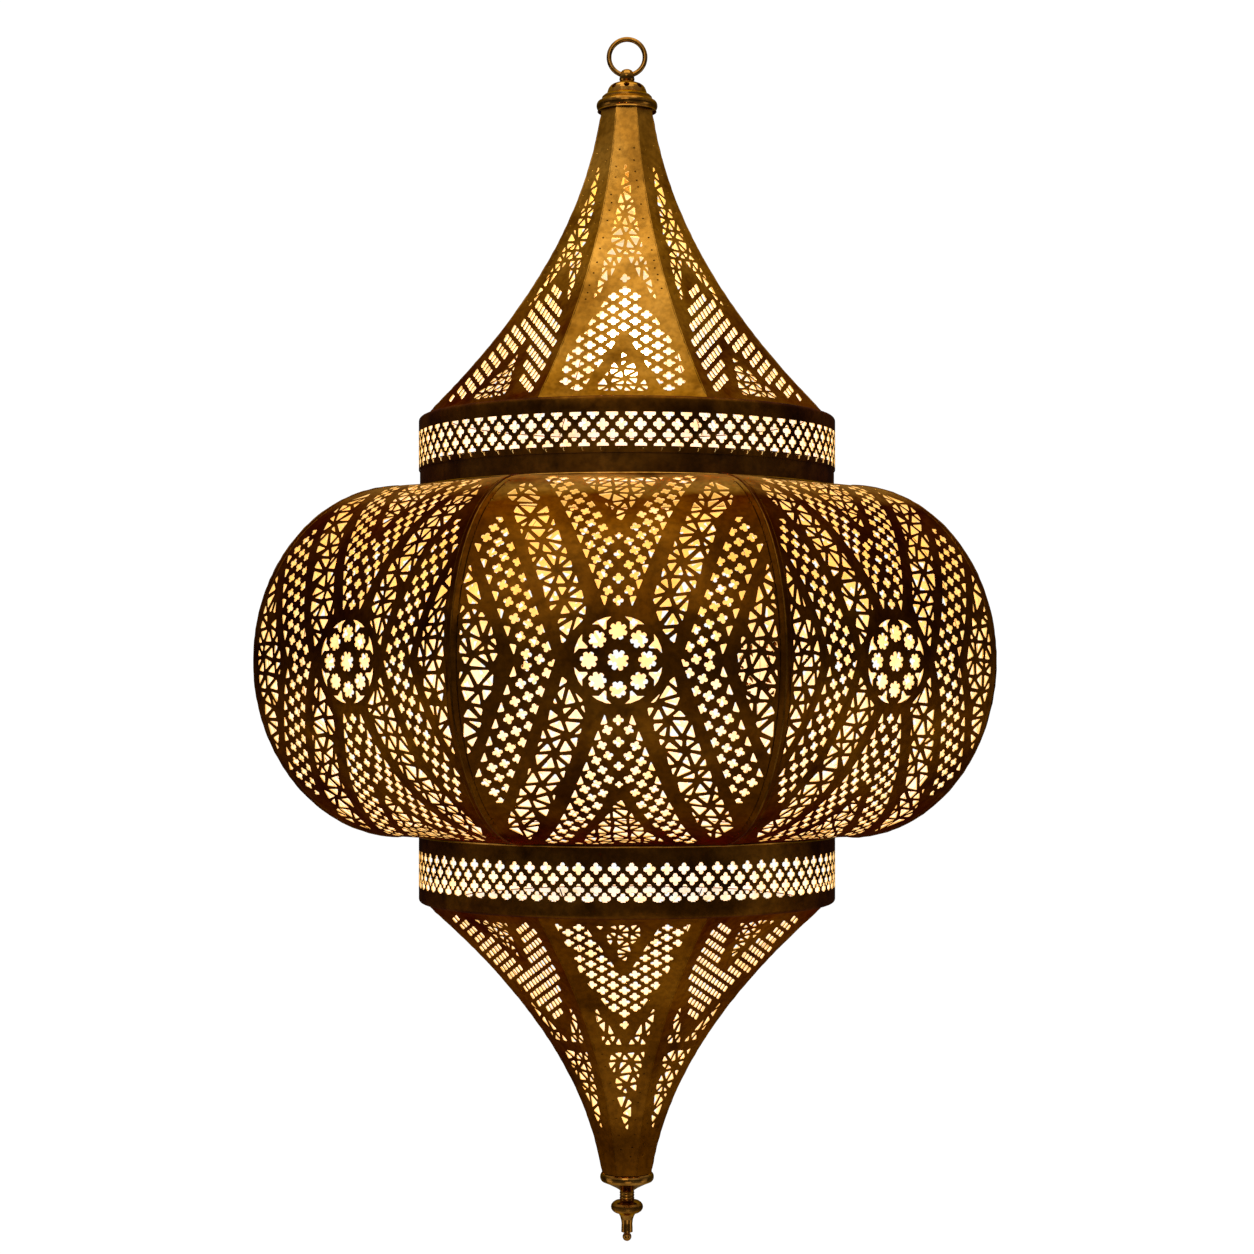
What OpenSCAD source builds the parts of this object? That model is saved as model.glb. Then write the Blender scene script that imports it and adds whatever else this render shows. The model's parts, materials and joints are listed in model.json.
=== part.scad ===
// Hanging lantern of antique brass: an eight-sided spire, bulb and cone joined by two round collars.
// Millimetres, +Z up. The origin is where a hook bears inside the top of the hanging ring.
// Eight panels stand at every 45 degrees. The front panel faces -Y and the lamp door faces +Y.

/* [Sheet metal] */
// Thickness of the brass sheet
sheet = 0.8; // [0.7:0.1:0.9]
// Running gap round the lamp door
door_gap = 0.4; // [0.3:0.1:0.5]

/* [Spire] */
// Height of the spire's curved flank
spire_h = 229.2; // [220:0.2:235]
// Half width across the flats at the spire's neck
neck_a = 19; // [18.8:0.1:19.6]
// Straight part of the spire's flare
spire_flare = 32.5; // [31:0.1:34]
// Curved part of the spire's flare
spire_curve = 90.4; // [88:0.2:92]

/* [Collars] */
// Outer radius of both collars
collar_r = 155.6; // [155:0.1:157]
// Height from the top of the upper collar to the bulb
upper_collar_h = 55.4; // [54:0.1:60]
// Height from the bulb to the foot of the lower collar
lower_collar_h = 52; // [50:0.1:56]
// Rounding of each collar's outer corner
collar_round = 3; // [2:0.5:4]
// Height of the plain neck band between the upper collar's drum and the bulb
neck_band_h = 16; // [14:0.1:18]

/* [Bulb] */
// Height of the bulb between the collars
bulb_h = 253.4; // [250:0.1:258]
// Half width across the flats at the bulb's mouths
mouth_a = 160.8; // [160:0.1:162]
// How far the panels swell past the mouths
bulb_swell = 101.4; // [98:0.2:104]

/* [Lower cone] */
// Height of the cone's curved flank
cone_h = 203.2; // [195:0.2:210]
// Half width across the flats at the cone's tip
tip_a = 18.3; // [18.2:0.1:18.4]
// Straight part of the cone's flare
cone_flare = 30.6; // [29:0.2:32]
// Curved part of the cone's flare
cone_curve = 93; // [90:0.5:94]

/* [Lamp door] */
// Half height of the door
door_half_h = 120; // [116:1:121]
// Distance of the hinge pin from the lantern's axis
hinge_r = 289.4; // [289.2:0.1:290]
// Radius of the hinge pin
hinge_pin_r = 1.6; // [1.5:0.05:1.7]

/* [Hanging ring] */
// Diameter of the ring's wire
ring_wire = 3.75; // [3.5:0.05:3.8]
// Radius of the ring to the middle of its wire
ring_r = 13.5; // [13.2:0.1:13.8]

/* [Lamp] */
// Height of the lamp's tip contact above the middle of its globe
lamp_reach = 72.2; // [70:0.2:74]
// Radius of the lamp's globe
globe_r = 30; // [26:1:31]
// Height of the middle of the globe
globe_z = -231; // [-233:0.5:-229]

/* [Hidden] */
$fn = 64;
SIDES = 8;
STEP = 360 / SIDES;
HALF = STEP / 2;
REACH = 420;
HAIR = 0.05;
BRASS = [0.72, 0.5, 0.22];
DARK_BRASS = [0.5, 0.35, 0.15];
STEEL = [0.7, 0.7, 0.72];
BLACK = [0.1, 0.1, 0.1];
OPAL = [1, 0.96, 0.85];

// heights, from the hook downwards
ring_z = ring_wire / 2 - ring_r;
pivot_z = ring_z - ring_r;
knob_r = 6.1;
knob_z = -26.5;
cap_z = -31.2;
spire_top_z = -50;
flank_z = -54;
collar_top_z = flank_z - spire_h;
bulb_top_z = collar_top_z - upper_collar_h;
equator_z = bulb_top_z - bulb_h / 2;
bulb_foot_z = bulb_top_z - bulb_h;
collar_foot_z = bulb_foot_z - lower_collar_h;
tip_z = collar_foot_z - cone_h;

// studs and nuts
stud_r = 3;
stud_hole_r = 3.1;
nut_h = 5;
nut_r = 10 / sqrt(3);
plate_t = 3;
neck_plate_z = flank_z - 0.5;
yoke_t = 2.5;
yoke_w = 23;
yoke_z = neck_plate_z - plate_t - nut_h - 2 * HAIR;
yoke_h = 60.3;
yoke_foot_z = yoke_z - yoke_h;
stud_foot_z = yoke_z - yoke_t - nut_h - 2;
wire_hole_y = 11.5;
wire_hole_r = 3.6;
earth_x = 11.5;
earth_r = 2;

// cable inlet, in the back of the cap's dome
bush_y = 12.2;
bush_z = -35.9;
bush_tilt = 45;
bush_r = 4.6;
bush_bore_r = 3.25;
bush_l = 9;
vent_r = 2.1;
vent_count = 8;

// terminal block and lead, on the axis inside the yoke
block = [14, 12, 16];
block_z = stud_foot_z - 2;
tab_t = 1.5;
tab_y = block[1] / 2 + HAIR;
yoke_d = 2 * (tab_y + tab_t);
lead_r = 2;

// stem and lamp holder
stem_r = 5;
stem_bore_r = 3.2;
stem_nut_h = 4;
stem_nut_r = 14 / sqrt(3);
stem_top_z = yoke_foot_z + yoke_t + stem_nut_h + 2;
lamp_tip_z = globe_z + lamp_reach;
holder_r = 20;
holder_bore_r = 14.4;
holder_h = 34;
holder_floor = 4;
holder_z = lamp_tip_z + holder_floor + 0.5;
holder_cap_h = 15;
stem_foot_z = holder_z + holder_cap_h - 4;
lamp_screw_r = 13.2;
lamp_screw_h = 27;
lamp_neck_z = lamp_tip_z - lamp_screw_h;
glass_t = 1;

// collars: one drawn profile each, from the flange in to the strip's edge
flange_r = 134;
bulb_flange_a = 141;
bead_wire_r = 1.3;

// door furniture
hinge_leaf_h = 50;
hinge_leaf_w = 15;
leaf_t = 1.2;
knuckle_r = 3.4;
knuckle_h = 20;
knuckle_gap = 0.3;
pin_clear = 0.05;
pin_head_r = 2.8;
pin_head_h = 1.4;
rivet_r = 1.2;
rivet_head_r = 2.2;
rivet_head_h = 0.9;
pull_y = 96;
pull_r = 4.5;
stop_w = 6;

// foot
cup_r = 20.2;
cup_z = tip_z - HAIR;
foot_plate_z = tip_z + 4;
finial_z = cup_z - 21.2;
finial_stud_top_z = foot_plate_z + nut_h + 3;

function numbered(name, count) = [for (i = [1 : count]) str(name, "_", i)];

// ---- outlines: x is the distance from the axis to the flat, y is the height ----
function flared(a, flare, curve, h, t, inset) =
    a + flare * t + curve * t * t - inset * sqrt(1 + pow((flare + 2 * curve * t) / h, 2));

FLANK_STEPS = 14;
function flank(a, flare, curve, h, inset) =
    [for (i = [0 : FLANK_STEPS]) let (t = i / FLANK_STEPS) [flared(a, flare, curve, h, t, inset), -h * t]];

function reversed(list) = [for (i = [len(list) - 1 : -1 : 0]) list[i]];

// the swelling of the bulb, inset by the given depth, between two sweep angles
function swelling(inset, from, to) =
    [for (q = [from : -7.5 : to])
        [mouth_a + (bulb_swell - inset) * cos(q), equator_z + (bulb_h / 2 - inset) * sin(q)]];

module spire_outline() {
    outer = [for (p = flank(neck_a, spire_flare, spire_curve, spire_h, 0)) p + [0, flank_z]];
    inner = [for (p = flank(neck_a, spire_flare, spire_curve, spire_h, sheet)) p + [0, flank_z]];
    polygon(concat([[neck_a - sheet, spire_top_z], [neck_a, spire_top_z]], outer, reversed(inner)));
}

module cone_outline() {
    outer = [for (p = flank(tip_a, cone_flare, cone_curve, cone_h, 0)) [p[0], tip_z - p[1]]];
    inner = [for (p = flank(tip_a, cone_flare, cone_curve, cone_h, sheet)) [p[0], tip_z - p[1]]];
    polygon(concat(outer, reversed(inner)));
}

module bulb_outline() {
    inner_half = bulb_h / 2 - sheet;
    polygon(concat(
        [[bulb_flange_a, equator_z + bulb_h / 2]], swelling(0, 90, -90),
        [[bulb_flange_a, equator_z - bulb_h / 2], [bulb_flange_a, equator_z - inner_half]],
        reversed(swelling(sheet, 90, -90)), [[bulb_flange_a, equator_z + inner_half]]
    ));
}

// a strip that follows the bulb's wall between two insets
module bulb_strip_outline(outer_inset, inner_inset, sweep) {
    polygon(concat(swelling(outer_inset, sweep, -sweep), reversed(swelling(inner_inset, sweep, -sweep))));
}

// ---- one of the eight sides: the outline drawn straight across, trimmed at the seams ----
module side(azimuth, seam = HAIR) {
    apex = seam / sin(HALF);
    half_w = REACH * tan(HALF);
    rotate([0, 0, azimuth])
        intersection() {
            rotate([90, 0, 0]) linear_extrude(height = 2 * REACH, center = true) children();
            translate([apex, 0, tip_z - 1])
                linear_extrude(height = -tip_z) polygon([[0, 0], [REACH, half_w], [REACH, -half_w]]);
        }
}

module slab(low, high) {
    translate([-REACH, -REACH, low]) cube([2 * REACH, 2 * REACH, high - low]);
}

function azimuth_of(i) = 90 + STEP * i;
DOOR = azimuth_of(0);

// ---- hanging ring and knob ----
module hanging_ring() {
    color(BRASS)
        translate([0, 0, ring_z])
            rotate([90, 0, 0]) rotate_extrude() translate([ring_r, 0]) circle(r = ring_wire / 2);
}

module ring_knob() {
    ball = [for (q = [90 : -10 : -30]) [knob_r * cos(q), knob_z + knob_r * sin(q)]];
    foot = [[5.6, cap_z + 1.3], [6.6, cap_z + 0.7], [7.2, cap_z + HAIR]];
    stud = [[stud_r, cap_z + HAIR], [stud_r, stud_foot_z], [0, stud_foot_z]];
    hole_r = 3.3;
    color(BRASS)
        difference() {
            rotate_extrude() polygon(concat(ball, foot, stud));
            translate([0, 0, pivot_z]) rotate([0, 90, 0]) cylinder(r = hole_r, h = 4 * knob_r, center = true);
        }
}

// ---- cap ----
module cap_outline() {
    dome = [for (q = [90 : -15 : 15]) [7.4 + 7.2 * cos(q), cap_z - 7 + 7 * sin(q)]];
    steps = [[15.2, cap_z - 8.1], [17.3, cap_z - 9.1], [18.7, cap_z - 10.4], [19, cap_z - 12],
        [20, cap_z - 12.9]];
    rim = [for (q = [60 : -20 : -60]) [20.5 + 2.4 * cos(q), cap_z - 17 + 3.6 * sin(q)]];
    foot = [[22.2, cap_z - 21.3], [21.5, cap_z - 21.3], [21.5, cap_z - 18.6]];
    inside = [[20, cap_z - 17.2], [17.6, cap_z - 12.4], [14.2, cap_z - 9.6], [13.2, cap_z - 7.2]];
    crown = [for (q = [15 : 15 : 90]) [7.4 + 6 * cos(q), cap_z - 7 + 5.8 * sin(q)]];
    polygon(concat(
        [[stud_hole_r, cap_z]], dome, steps, rim, foot, inside, crown, [[stud_hole_r, cap_z - 1.2]]
    ));
}

module bush_place() {
    translate([0, bush_y, bush_z]) rotate([-bush_tilt, 0, 0]) children();
}

module top_cap() {
    color(BRASS)
        difference() {
            rotate_extrude() cap_outline();
            for (i = [1 : vent_count - 1])
                rotate([0, 0, DOOR + i * 360 / vent_count - 90])
                    bush_place() cylinder(r = vent_r, h = 2 * bush_l, center = true);
            bush_place() cylinder(r = bush_r + HAIR, h = 3 * bush_l, center = true);
        }
}

module cable_bush() {
    lip_h = 1.6;
    lip_r = bush_r + 1;
    color(BLACK)
        bush_place()
            difference() {
                union() {
                    translate([0, 0, -bush_l / 2]) cylinder(r = bush_r, h = bush_l);
                    translate([0, 0, bush_l / 2 - lip_h + 1]) cylinder(r = lip_r, h = lip_h);
                }
                cylinder(r = bush_bore_r, h = 3 * bush_l, center = true);
            }
}

// ---- neck: plate, nuts and the yoke that carries the lamp ----
module octagon(a, h) {
    rotate([0, 0, HALF]) cylinder(r = a / cos(HALF), h = h, $fn = SIDES);
}

module neck_plate() {
    color(DARK_BRASS)
        difference() {
            translate([0, 0, neck_plate_z - plate_t]) octagon(neck_a - sheet - 0.2, plate_t);
            translate([0, 0, neck_plate_z - 2 * plate_t]) {
                cylinder(r = stud_hole_r, h = 3 * plate_t);
                translate([0, wire_hole_y, 0]) cylinder(r = wire_hole_r, h = 3 * plate_t);
                translate([earth_x, 0, 0]) cylinder(r = earth_r + HAIR, h = 3 * plate_t);
            }
        }
}

module nut(r, h, bore, top) {
    translate([0, 0, top - h])
        difference() {
            cylinder(r = r, h = h, $fn = 6);
            translate([0, 0, -1]) cylinder(r = bore, h = h + 2);
        }
}

module stud_nuts() {
    color(STEEL)
        for (top = [neck_plate_z - plate_t - HAIR, yoke_z - yoke_t - HAIR])
            nut(nut_r, nut_h, stud_r + HAIR, top);
}

module earth_screw() {
    head_h = 2;
    color([0.2, 0.6, 0.25])
        translate([earth_x, 0, neck_plate_z - plate_t - HAIR]) {
            translate([0, 0, -head_h]) cylinder(r = 2 * earth_r, h = head_h);
            cylinder(r = earth_r, h = plate_t + 1);
        }
}

module lamp_yoke() {
    inner_w = yoke_w - 2 * yoke_t;
    color(STEEL)
        difference() {
            union() {
                translate([-yoke_w / 2, -yoke_d / 2, yoke_foot_z]) cube([yoke_w, yoke_d, yoke_h]);
                translate([-block[0] / 2, tab_y, block_z - block[2]])
                    cube([block[0], tab_t, yoke_z - block_z + block[2]]);
            }
            translate([-inner_w / 2, -yoke_d, yoke_foot_z + yoke_t])
                cube([inner_w, yoke_d + tab_y, yoke_h - 2 * yoke_t]);
            translate([-inner_w / 2, -yoke_d, yoke_foot_z + yoke_t])
                cube([inner_w, 2 * yoke_d, block_z - block[2] - yoke_foot_z - yoke_t]);
            translate([0, 0, yoke_z - 2 * yoke_t]) cylinder(r = stud_hole_r, h = 3 * yoke_t);
            translate([0, 0, yoke_foot_z - yoke_t]) cylinder(r = stem_r + HAIR, h = 3 * yoke_t);
        }
}

module terminal_block() {
    screw_r = 1.6;
    screw_depth = 2;
    pitch = block[0] / 3;
    color([0.9, 0.9, 0.86])
        difference() {
            translate([-block[0] / 2, -block[1] / 2, block_z - block[2]]) cube(block);
            for (i = [-1 : 1], z = [4, block[2] - 4])
                translate([i * pitch, screw_depth - block[1] / 2, block_z - z])
                    rotate([90, 0, 0]) cylinder(r = screw_r, h = 2 * screw_depth);
        }
}

module lamp_lead() {
    top_z = block_z - block[2] - HAIR;
    color([0.85, 0.7, 0.35])
        translate([0, 0, holder_z + HAIR]) cylinder(r = lead_r, h = top_z - holder_z - HAIR);
}

module stem_tube() {
    color(BRASS)
        translate([0, 0, stem_foot_z])
            difference() {
                cylinder(r = stem_r, h = stem_top_z - stem_foot_z);
                translate([0, 0, -1]) cylinder(r = stem_bore_r, h = stem_top_z - stem_foot_z + 2);
            }
}

module stem_nuts() {
    color(STEEL)
        for (top = [yoke_foot_z + yoke_t + HAIR + stem_nut_h, yoke_foot_z - HAIR])
            nut(stem_nut_r, stem_nut_h, stem_r + HAIR, top);
}

// ---- lamp holder and lamp ----
module holder_cap() {
    wall = 1.5;
    top_z = holder_z + holder_cap_h;
    shoulder = [for (q = [75 : -15 : 0]) [holder_r - 10 + 10 * cos(q), top_z - 10 + 10 * sin(q)]];
    hollow = [for (q = [0 : 15 : 75])
        [holder_r - 10 + (10 - wall) * cos(q), top_z - 10 + (10 - wall) * sin(q)]];
    color(DARK_BRASS)
        rotate_extrude()
            polygon(concat(
                [[stem_r + HAIR, top_z]], shoulder, [[holder_r, holder_z + HAIR]],
                [[holder_r - wall, holder_z + HAIR]], hollow, [[stem_r + HAIR, top_z - wall]]
            ));
}

module holder_body() {
    lead_hole_r = 1;
    color([0.16, 0.1, 0.06])
        translate([0, 0, holder_z - holder_h])
            difference() {
                cylinder(r = holder_r, h = holder_h);
                translate([0, 0, -holder_floor]) cylinder(r = holder_bore_r, h = holder_h);
                for (x = [-8, 8]) translate([x, 0, 0]) cylinder(r = lead_hole_r, h = 2 * holder_h);
            }
}

module lamp_screw_cap() {
    tip_h = 3;
    tip_r = 5;
    color(STEEL)
        rotate_extrude()
            polygon([
                [0, lamp_tip_z], [tip_r, lamp_tip_z], [tip_r + 3, lamp_tip_z - tip_h],
                [lamp_screw_r, lamp_tip_z - tip_h - 2], [lamp_screw_r, lamp_neck_z], [0, lamp_neck_z]
            ]);
}

module lamp_glass() {
    flare = [for (q = [0 : 10 : 40]) [lamp_screw_r + 14 - 14 * cos(q), lamp_neck_z - HAIR - 20 * sin(q)]];
    globe = [for (q = [40 : -10 : -90]) [globe_r * cos(q), globe_z + globe_r * sin(q)]];
    hollow = [for (q = [-90 : 10 : 40])
        [(globe_r - glass_t) * cos(q), globe_z + (globe_r - glass_t) * sin(q)]];
    throat = [for (q = [40 : -10 : 0])
        [lamp_screw_r + 14 - 14 * cos(q) - glass_t, lamp_neck_z - HAIR - 20 * sin(q)]];
    color(OPAL) rotate_extrude() polygon(concat(flare, globe, hollow, throat));
}

module lamp_filaments() {
    post_r = 2.5;
    post_h = 24;
    rod_r = 0.9;
    rod_l = 34;
    ring = 9;
    disc_r = 11;
    disc_h = 1;
    disc_z = lamp_neck_z - HAIR - post_h;
    color([1, 0.75, 0.3]) {
        translate([0, 0, disc_z]) cylinder(r = post_r, h = post_h);
        translate([0, 0, disc_z - disc_h]) cylinder(r = disc_r, h = disc_h);
        for (q = [45 : 90 : 315])
            translate([ring * cos(q), ring * sin(q), disc_z - disc_h - rod_l])
                cylinder(r = rod_r, h = rod_l + disc_h / 2);
    }
}

// ---- spire, bulb and cone panels ----
module spire_panel(i) {
    color(BRASS) side(azimuth_of(i)) spire_outline();
}

module cone_panel(i) {
    color(BRASS) side(azimuth_of(i)) cone_outline();
}

module bulb_panel(i) {
    color(BRASS)
        difference() {
            side(azimuth_of(i)) bulb_outline();
            if (i == SIDES - 1) leaf_rivet_holes(frame_side = true);
        }
}

module door_head() {
    color(BRASS)
        intersection() {
            side(DOOR) bulb_outline();
            slab(equator_z + door_half_h + door_gap / 2, 0);
        }
}

module door_sill() {
    color(BRASS)
        intersection() {
            side(DOOR) bulb_outline();
            slab(tip_z, equator_z - door_half_h - door_gap / 2);
        }
}

module door_panel() {
    color(BRASS)
        difference() {
            intersection() {
                side(DOOR, door_gap) bulb_outline();
                slab(equator_z - door_half_h + door_gap / 2, equator_z + door_half_h - door_gap / 2);
            }
            leaf_rivet_holes(frame_side = false);
            rotate([0, 0, DOOR])
                translate([0, pull_y, equator_z]) rotate([0, 90, 0]) cylinder(r = 1.55, h = REACH);
        }
}

module stop_slab() {
    rotate([0, 0, DOOR + HALF]) translate([0, -stop_w, tip_z]) cube([REACH, 2 * stop_w, -tip_z]);
}

// a folded strip behind the free edge of the door, for the door to close against
module door_stop() {
    sweep = 45;
    color(DARK_BRASS)
        union() {
            intersection() {
                side(DOOR, 0) bulb_strip_outline(sheet + door_gap, sheet + door_gap + leaf_t, sweep);
                stop_slab();
            }
            intersection() {
                side(DOOR + STEP, 0) bulb_strip_outline(sheet + HAIR, sheet + door_gap + leaf_t, sweep);
                stop_slab();
            }
        }
}

// ---- door hinge: the pin stands upright outside the seam at the equator ----
module at_hinge() {
    rotate([0, 0, DOOR - HALF]) translate([hinge_r, 0, equator_z]) children();
}

// places its children on the flat beside the hinge, x along the outward normal, y along the flat
module on_leaf(frame_side) {
    turn = frame_side ? DOOR - STEP : DOOR;
    flip = frame_side ? -1 : 1;
    edge = (mouth_a + bulb_swell) * tan(HALF);
    rotate([0, 0, turn]) mirror([0, frame_side ? 1 : 0, 0])
        translate([mouth_a + bulb_swell, -edge, equator_z]) children();
}

LEAF_RIVETS = [[9, -16], [9, 16]];

module leaf_rivet_holes(frame_side) {
    on_leaf(frame_side)
        for (p = LEAF_RIVETS)
            translate([-6, p[0], p[1]]) rotate([0, 90, 0]) cylinder(r = rivet_r + HAIR, h = 12);
}

module leaf_rivets(frame_side) {
    sag = bulb_swell * (1 - sqrt(1 - pow(LEAF_RIVETS[1][1] / (bulb_h / 2), 2)));
    color(BRASS)
        on_leaf(frame_side)
            for (p = LEAF_RIVETS)
                translate([-sag - sheet - 1, p[0], p[1]]) rotate([0, 90, 0]) {
                    cylinder(r = rivet_r, h = sheet + 1 + sag + leaf_t + 2 * HAIR);
                    translate([0, 0, sheet + 1 + sag + leaf_t + 2 * HAIR])
                        cylinder(r = rivet_head_r, h = rivet_head_h);
                }
}

// one leaf: a plate on the panel, and a folded web that lifts each of its knuckles to the pin
module hinge_leaf(frame_side, knuckles) {
    lift = hinge_r * cos(HALF) - mouth_a - bulb_swell;
    past = hinge_r * sin(HALF) - (mouth_a + bulb_swell) * tan(HALF);
    plate_start = 3;
    web_x = lift - 2.6;
    web_y = 1.2 - past;
    difference() {
        union() {
            on_leaf(frame_side) {
                translate([HAIR, plate_start, -hinge_leaf_h / 2]) cube([leaf_t, hinge_leaf_w, hinge_leaf_h]);
                for (k = knuckles) {
                    translate([HAIR, plate_start, k[0]]) cube([web_x + leaf_t - HAIR, leaf_t, k[1] - k[0]]);
                    translate([web_x, web_y, k[0]]) cube([leaf_t, plate_start - web_y + 0.5, k[1] - k[0]]);
                }
            }
            for (k = knuckles)
                at_hinge() translate([0, 0, k[0]]) cylinder(r = knuckle_r, h = k[1] - k[0]);
        }
        at_hinge() cylinder(r = hinge_pin_r + pin_clear, h = 2 * hinge_leaf_h, center = true);
        leaf_rivet_holes(frame_side);
    }
}

module door_hinge_leaf() {
    color(DARK_BRASS) hinge_leaf(false, [[-knuckle_h / 2, knuckle_h / 2]]);
}

module frame_hinge_leaf() {
    inner = knuckle_h / 2 + knuckle_gap;
    outer = hinge_leaf_h / 2;
    color(DARK_BRASS) hinge_leaf(true, [[inner, outer], [-outer, -inner]]);
}

module hinge_pin() {
    half = hinge_leaf_h / 2 + knuckle_gap;
    color(BRASS)
        at_hinge() {
            cylinder(r = hinge_pin_r, h = 2 * half, center = true);
            translate([0, 0, half]) cylinder(r = pin_head_r, h = pin_head_h);
            translate([0, 0, -half - pin_head_h]) cylinder(r = pin_head_r, h = pin_head_h);
        }
}

module door_pull() {
    neck_r = 2.2;
    neck_h = 4;
    flat = mouth_a + bulb_swell;
    knob = [for (q = [-60 : 15 : 90]) [pull_r * cos(q), neck_h + pull_r * (0.8 + 0.8 * sin(q))]];
    color(BRASS)
        rotate([0, 0, DOOR]) translate([flat + HAIR, pull_y, equator_z]) rotate([0, 90, 0]) {
            rotate_extrude() polygon(concat([[0, 0], [3.4, 0], [neck_r, 1.4], [neck_r, neck_h]], knob));
            translate([0, 0, -sheet - 2]) cylinder(r = 1.5, h = sheet + 2.5);
        }
}

// ---- collars, drawn downwards from z = 0: a flanged drum, a bead of wire, and the upper one's neck band ----
module drum(strip_h) {
    inner_round = collar_round - sheet;
    bend = [for (q = [90 : -15 : 0])
        [collar_r - collar_round * (1 - cos(q)), collar_round * (sin(q) - 1)]];
    hollow = [for (q = [0 : 15 : 90])
        [collar_r - collar_round + inner_round * cos(q), -collar_round + inner_round * sin(q)]];
    rotate_extrude($fn = 144)
        polygon(concat(
            [[flange_r, 0]], bend, [[collar_r, -strip_h], [collar_r - sheet, -strip_h]],
            hollow, [[flange_r, -sheet]]
        ));
}

module neck_band(total_h) {
    lap = 4.5;
    outer = collar_r - sheet - HAIR;
    rotate_extrude($fn = 144)
        translate([outer - sheet, -total_h + HAIR]) square([sheet, neck_band_h + lap]);
}

module bead_ring(wall_r, total_h) {
    rotate_extrude($fn = 144)
        translate([wall_r + HAIR + bead_wire_r, -total_h + bead_wire_r + HAIR])
            circle(r = bead_wire_r, $fn = 24);
}

module upper_place() {
    translate([0, 0, collar_top_z - HAIR]) children();
}

module lower_place() {
    translate([0, 0, collar_foot_z]) mirror([0, 0, 1]) children();
}

UPPER_H = upper_collar_h - HAIR;
LOWER_H = lower_collar_h;

module upper_collar() {
    color(BRASS) upper_place() drum(UPPER_H - neck_band_h);
}

module upper_neck_band() {
    color(DARK_BRASS) upper_place() neck_band(UPPER_H);
}

module upper_bead_ring() {
    color(BRASS) upper_place() bead_ring(collar_r - sheet - HAIR, UPPER_H);
}

module lower_collar() {
    color(BRASS) lower_place() drum(LOWER_H - HAIR);
}

module lower_bead_ring() {
    color(BRASS) lower_place() bead_ring(collar_r, LOWER_H);
}

// ---- foot: plate, cup and turned finial on one stud ----
module bottom_plate() {
    color(DARK_BRASS)
        difference() {
            translate([0, 0, foot_plate_z - plate_t]) octagon(tip_a - sheet - 0.3, plate_t);
            translate([0, 0, foot_plate_z - 2 * plate_t]) cylinder(r = stud_hole_r, h = 3 * plate_t);
        }
}

module bottom_cup() {
    rim = [for (q = [80 : -20 : -60]) [cup_r - 2.6 + 2.6 * cos(q), cup_z - 3.6 + 3.6 * sin(q)]];
    waist = [[14.5, cup_z - 8.6], [8.6, cup_z - 11.6], [5.8, cup_z - 13.4], [5.2, cup_z - 14.4]];
    beads = [for (i = [0 : 2], q = [60 : -60 : -60])
        [4.9 + 0.7 * cos(q), cup_z - 15.5 - 2 * i + sin(q)]];
    color(BRASS)
        rotate_extrude()
            polygon(concat(
                [[stud_hole_r, cup_z]], rim, waist, beads,
                [[5.2, finial_z + HAIR], [stud_hole_r, finial_z + HAIR]]
            ));
}

module finial() {
    knob = [for (q = [80 : -20 : -80]) [6.2 + 5.9 * cos(q), finial_z - 4.9 + 4.8 * sin(q)]];
    stem = [[6, finial_z - 10.6], [5.2, finial_z - 12.2], [4.5, finial_z - 14.4], [4.1, finial_z - 17.4],
        [4.3, finial_z - 22.6], [4.3, finial_z - 23.8], [2.2, finial_z - 24.6]];
    tip = [for (q = [50 : -20 : -90]) [3.4 * cos(q), finial_z - 27.4 + 3.4 * sin(q)]];
    color(BRASS)
        rotate_extrude()
            polygon(concat(
                [[0, finial_stud_top_z], [stud_r, finial_stud_top_z], [stud_r, finial_z], [5.4, finial_z]],
                knob, stem, tip
            ));
}

module finial_nut() {
    color(STEEL) nut(nut_r, nut_h, stud_r + HAIR, foot_plate_z + nut_h + HAIR);
}

// ---- draw ----
hanging_ring();
ring_knob();
top_cap();
cable_bush();
neck_plate();
stud_nuts();
earth_screw();
lamp_yoke();
terminal_block();
lamp_lead();
stem_tube();
stem_nuts();
holder_cap();
holder_body();
lamp_screw_cap();
lamp_glass();
lamp_filaments();
for (i = [1 : SIDES]) spire_panel(i);
upper_collar();
upper_neck_band();
upper_bead_ring();
for (i = [1 : SIDES - 1]) bulb_panel(i);
door_head();
door_sill();
door_stop();
door_panel();
door_pull();
door_hinge_leaf();
frame_hinge_leaf();
hinge_pin();
leaf_rivets(false);  // door_leaf_rivets
leaf_rivets(true);  // frame_leaf_rivets
lower_bead_ring();
lower_collar();
for (i = [1 : SIDES]) cone_panel(i);
bottom_plate();
bottom_cup();
finial();
finial_nut();
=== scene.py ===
import json
import math
import random

import bpy
import numpy as np
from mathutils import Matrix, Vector, noise
from mathutils.geometry import delaunay_2d_cdt


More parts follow.
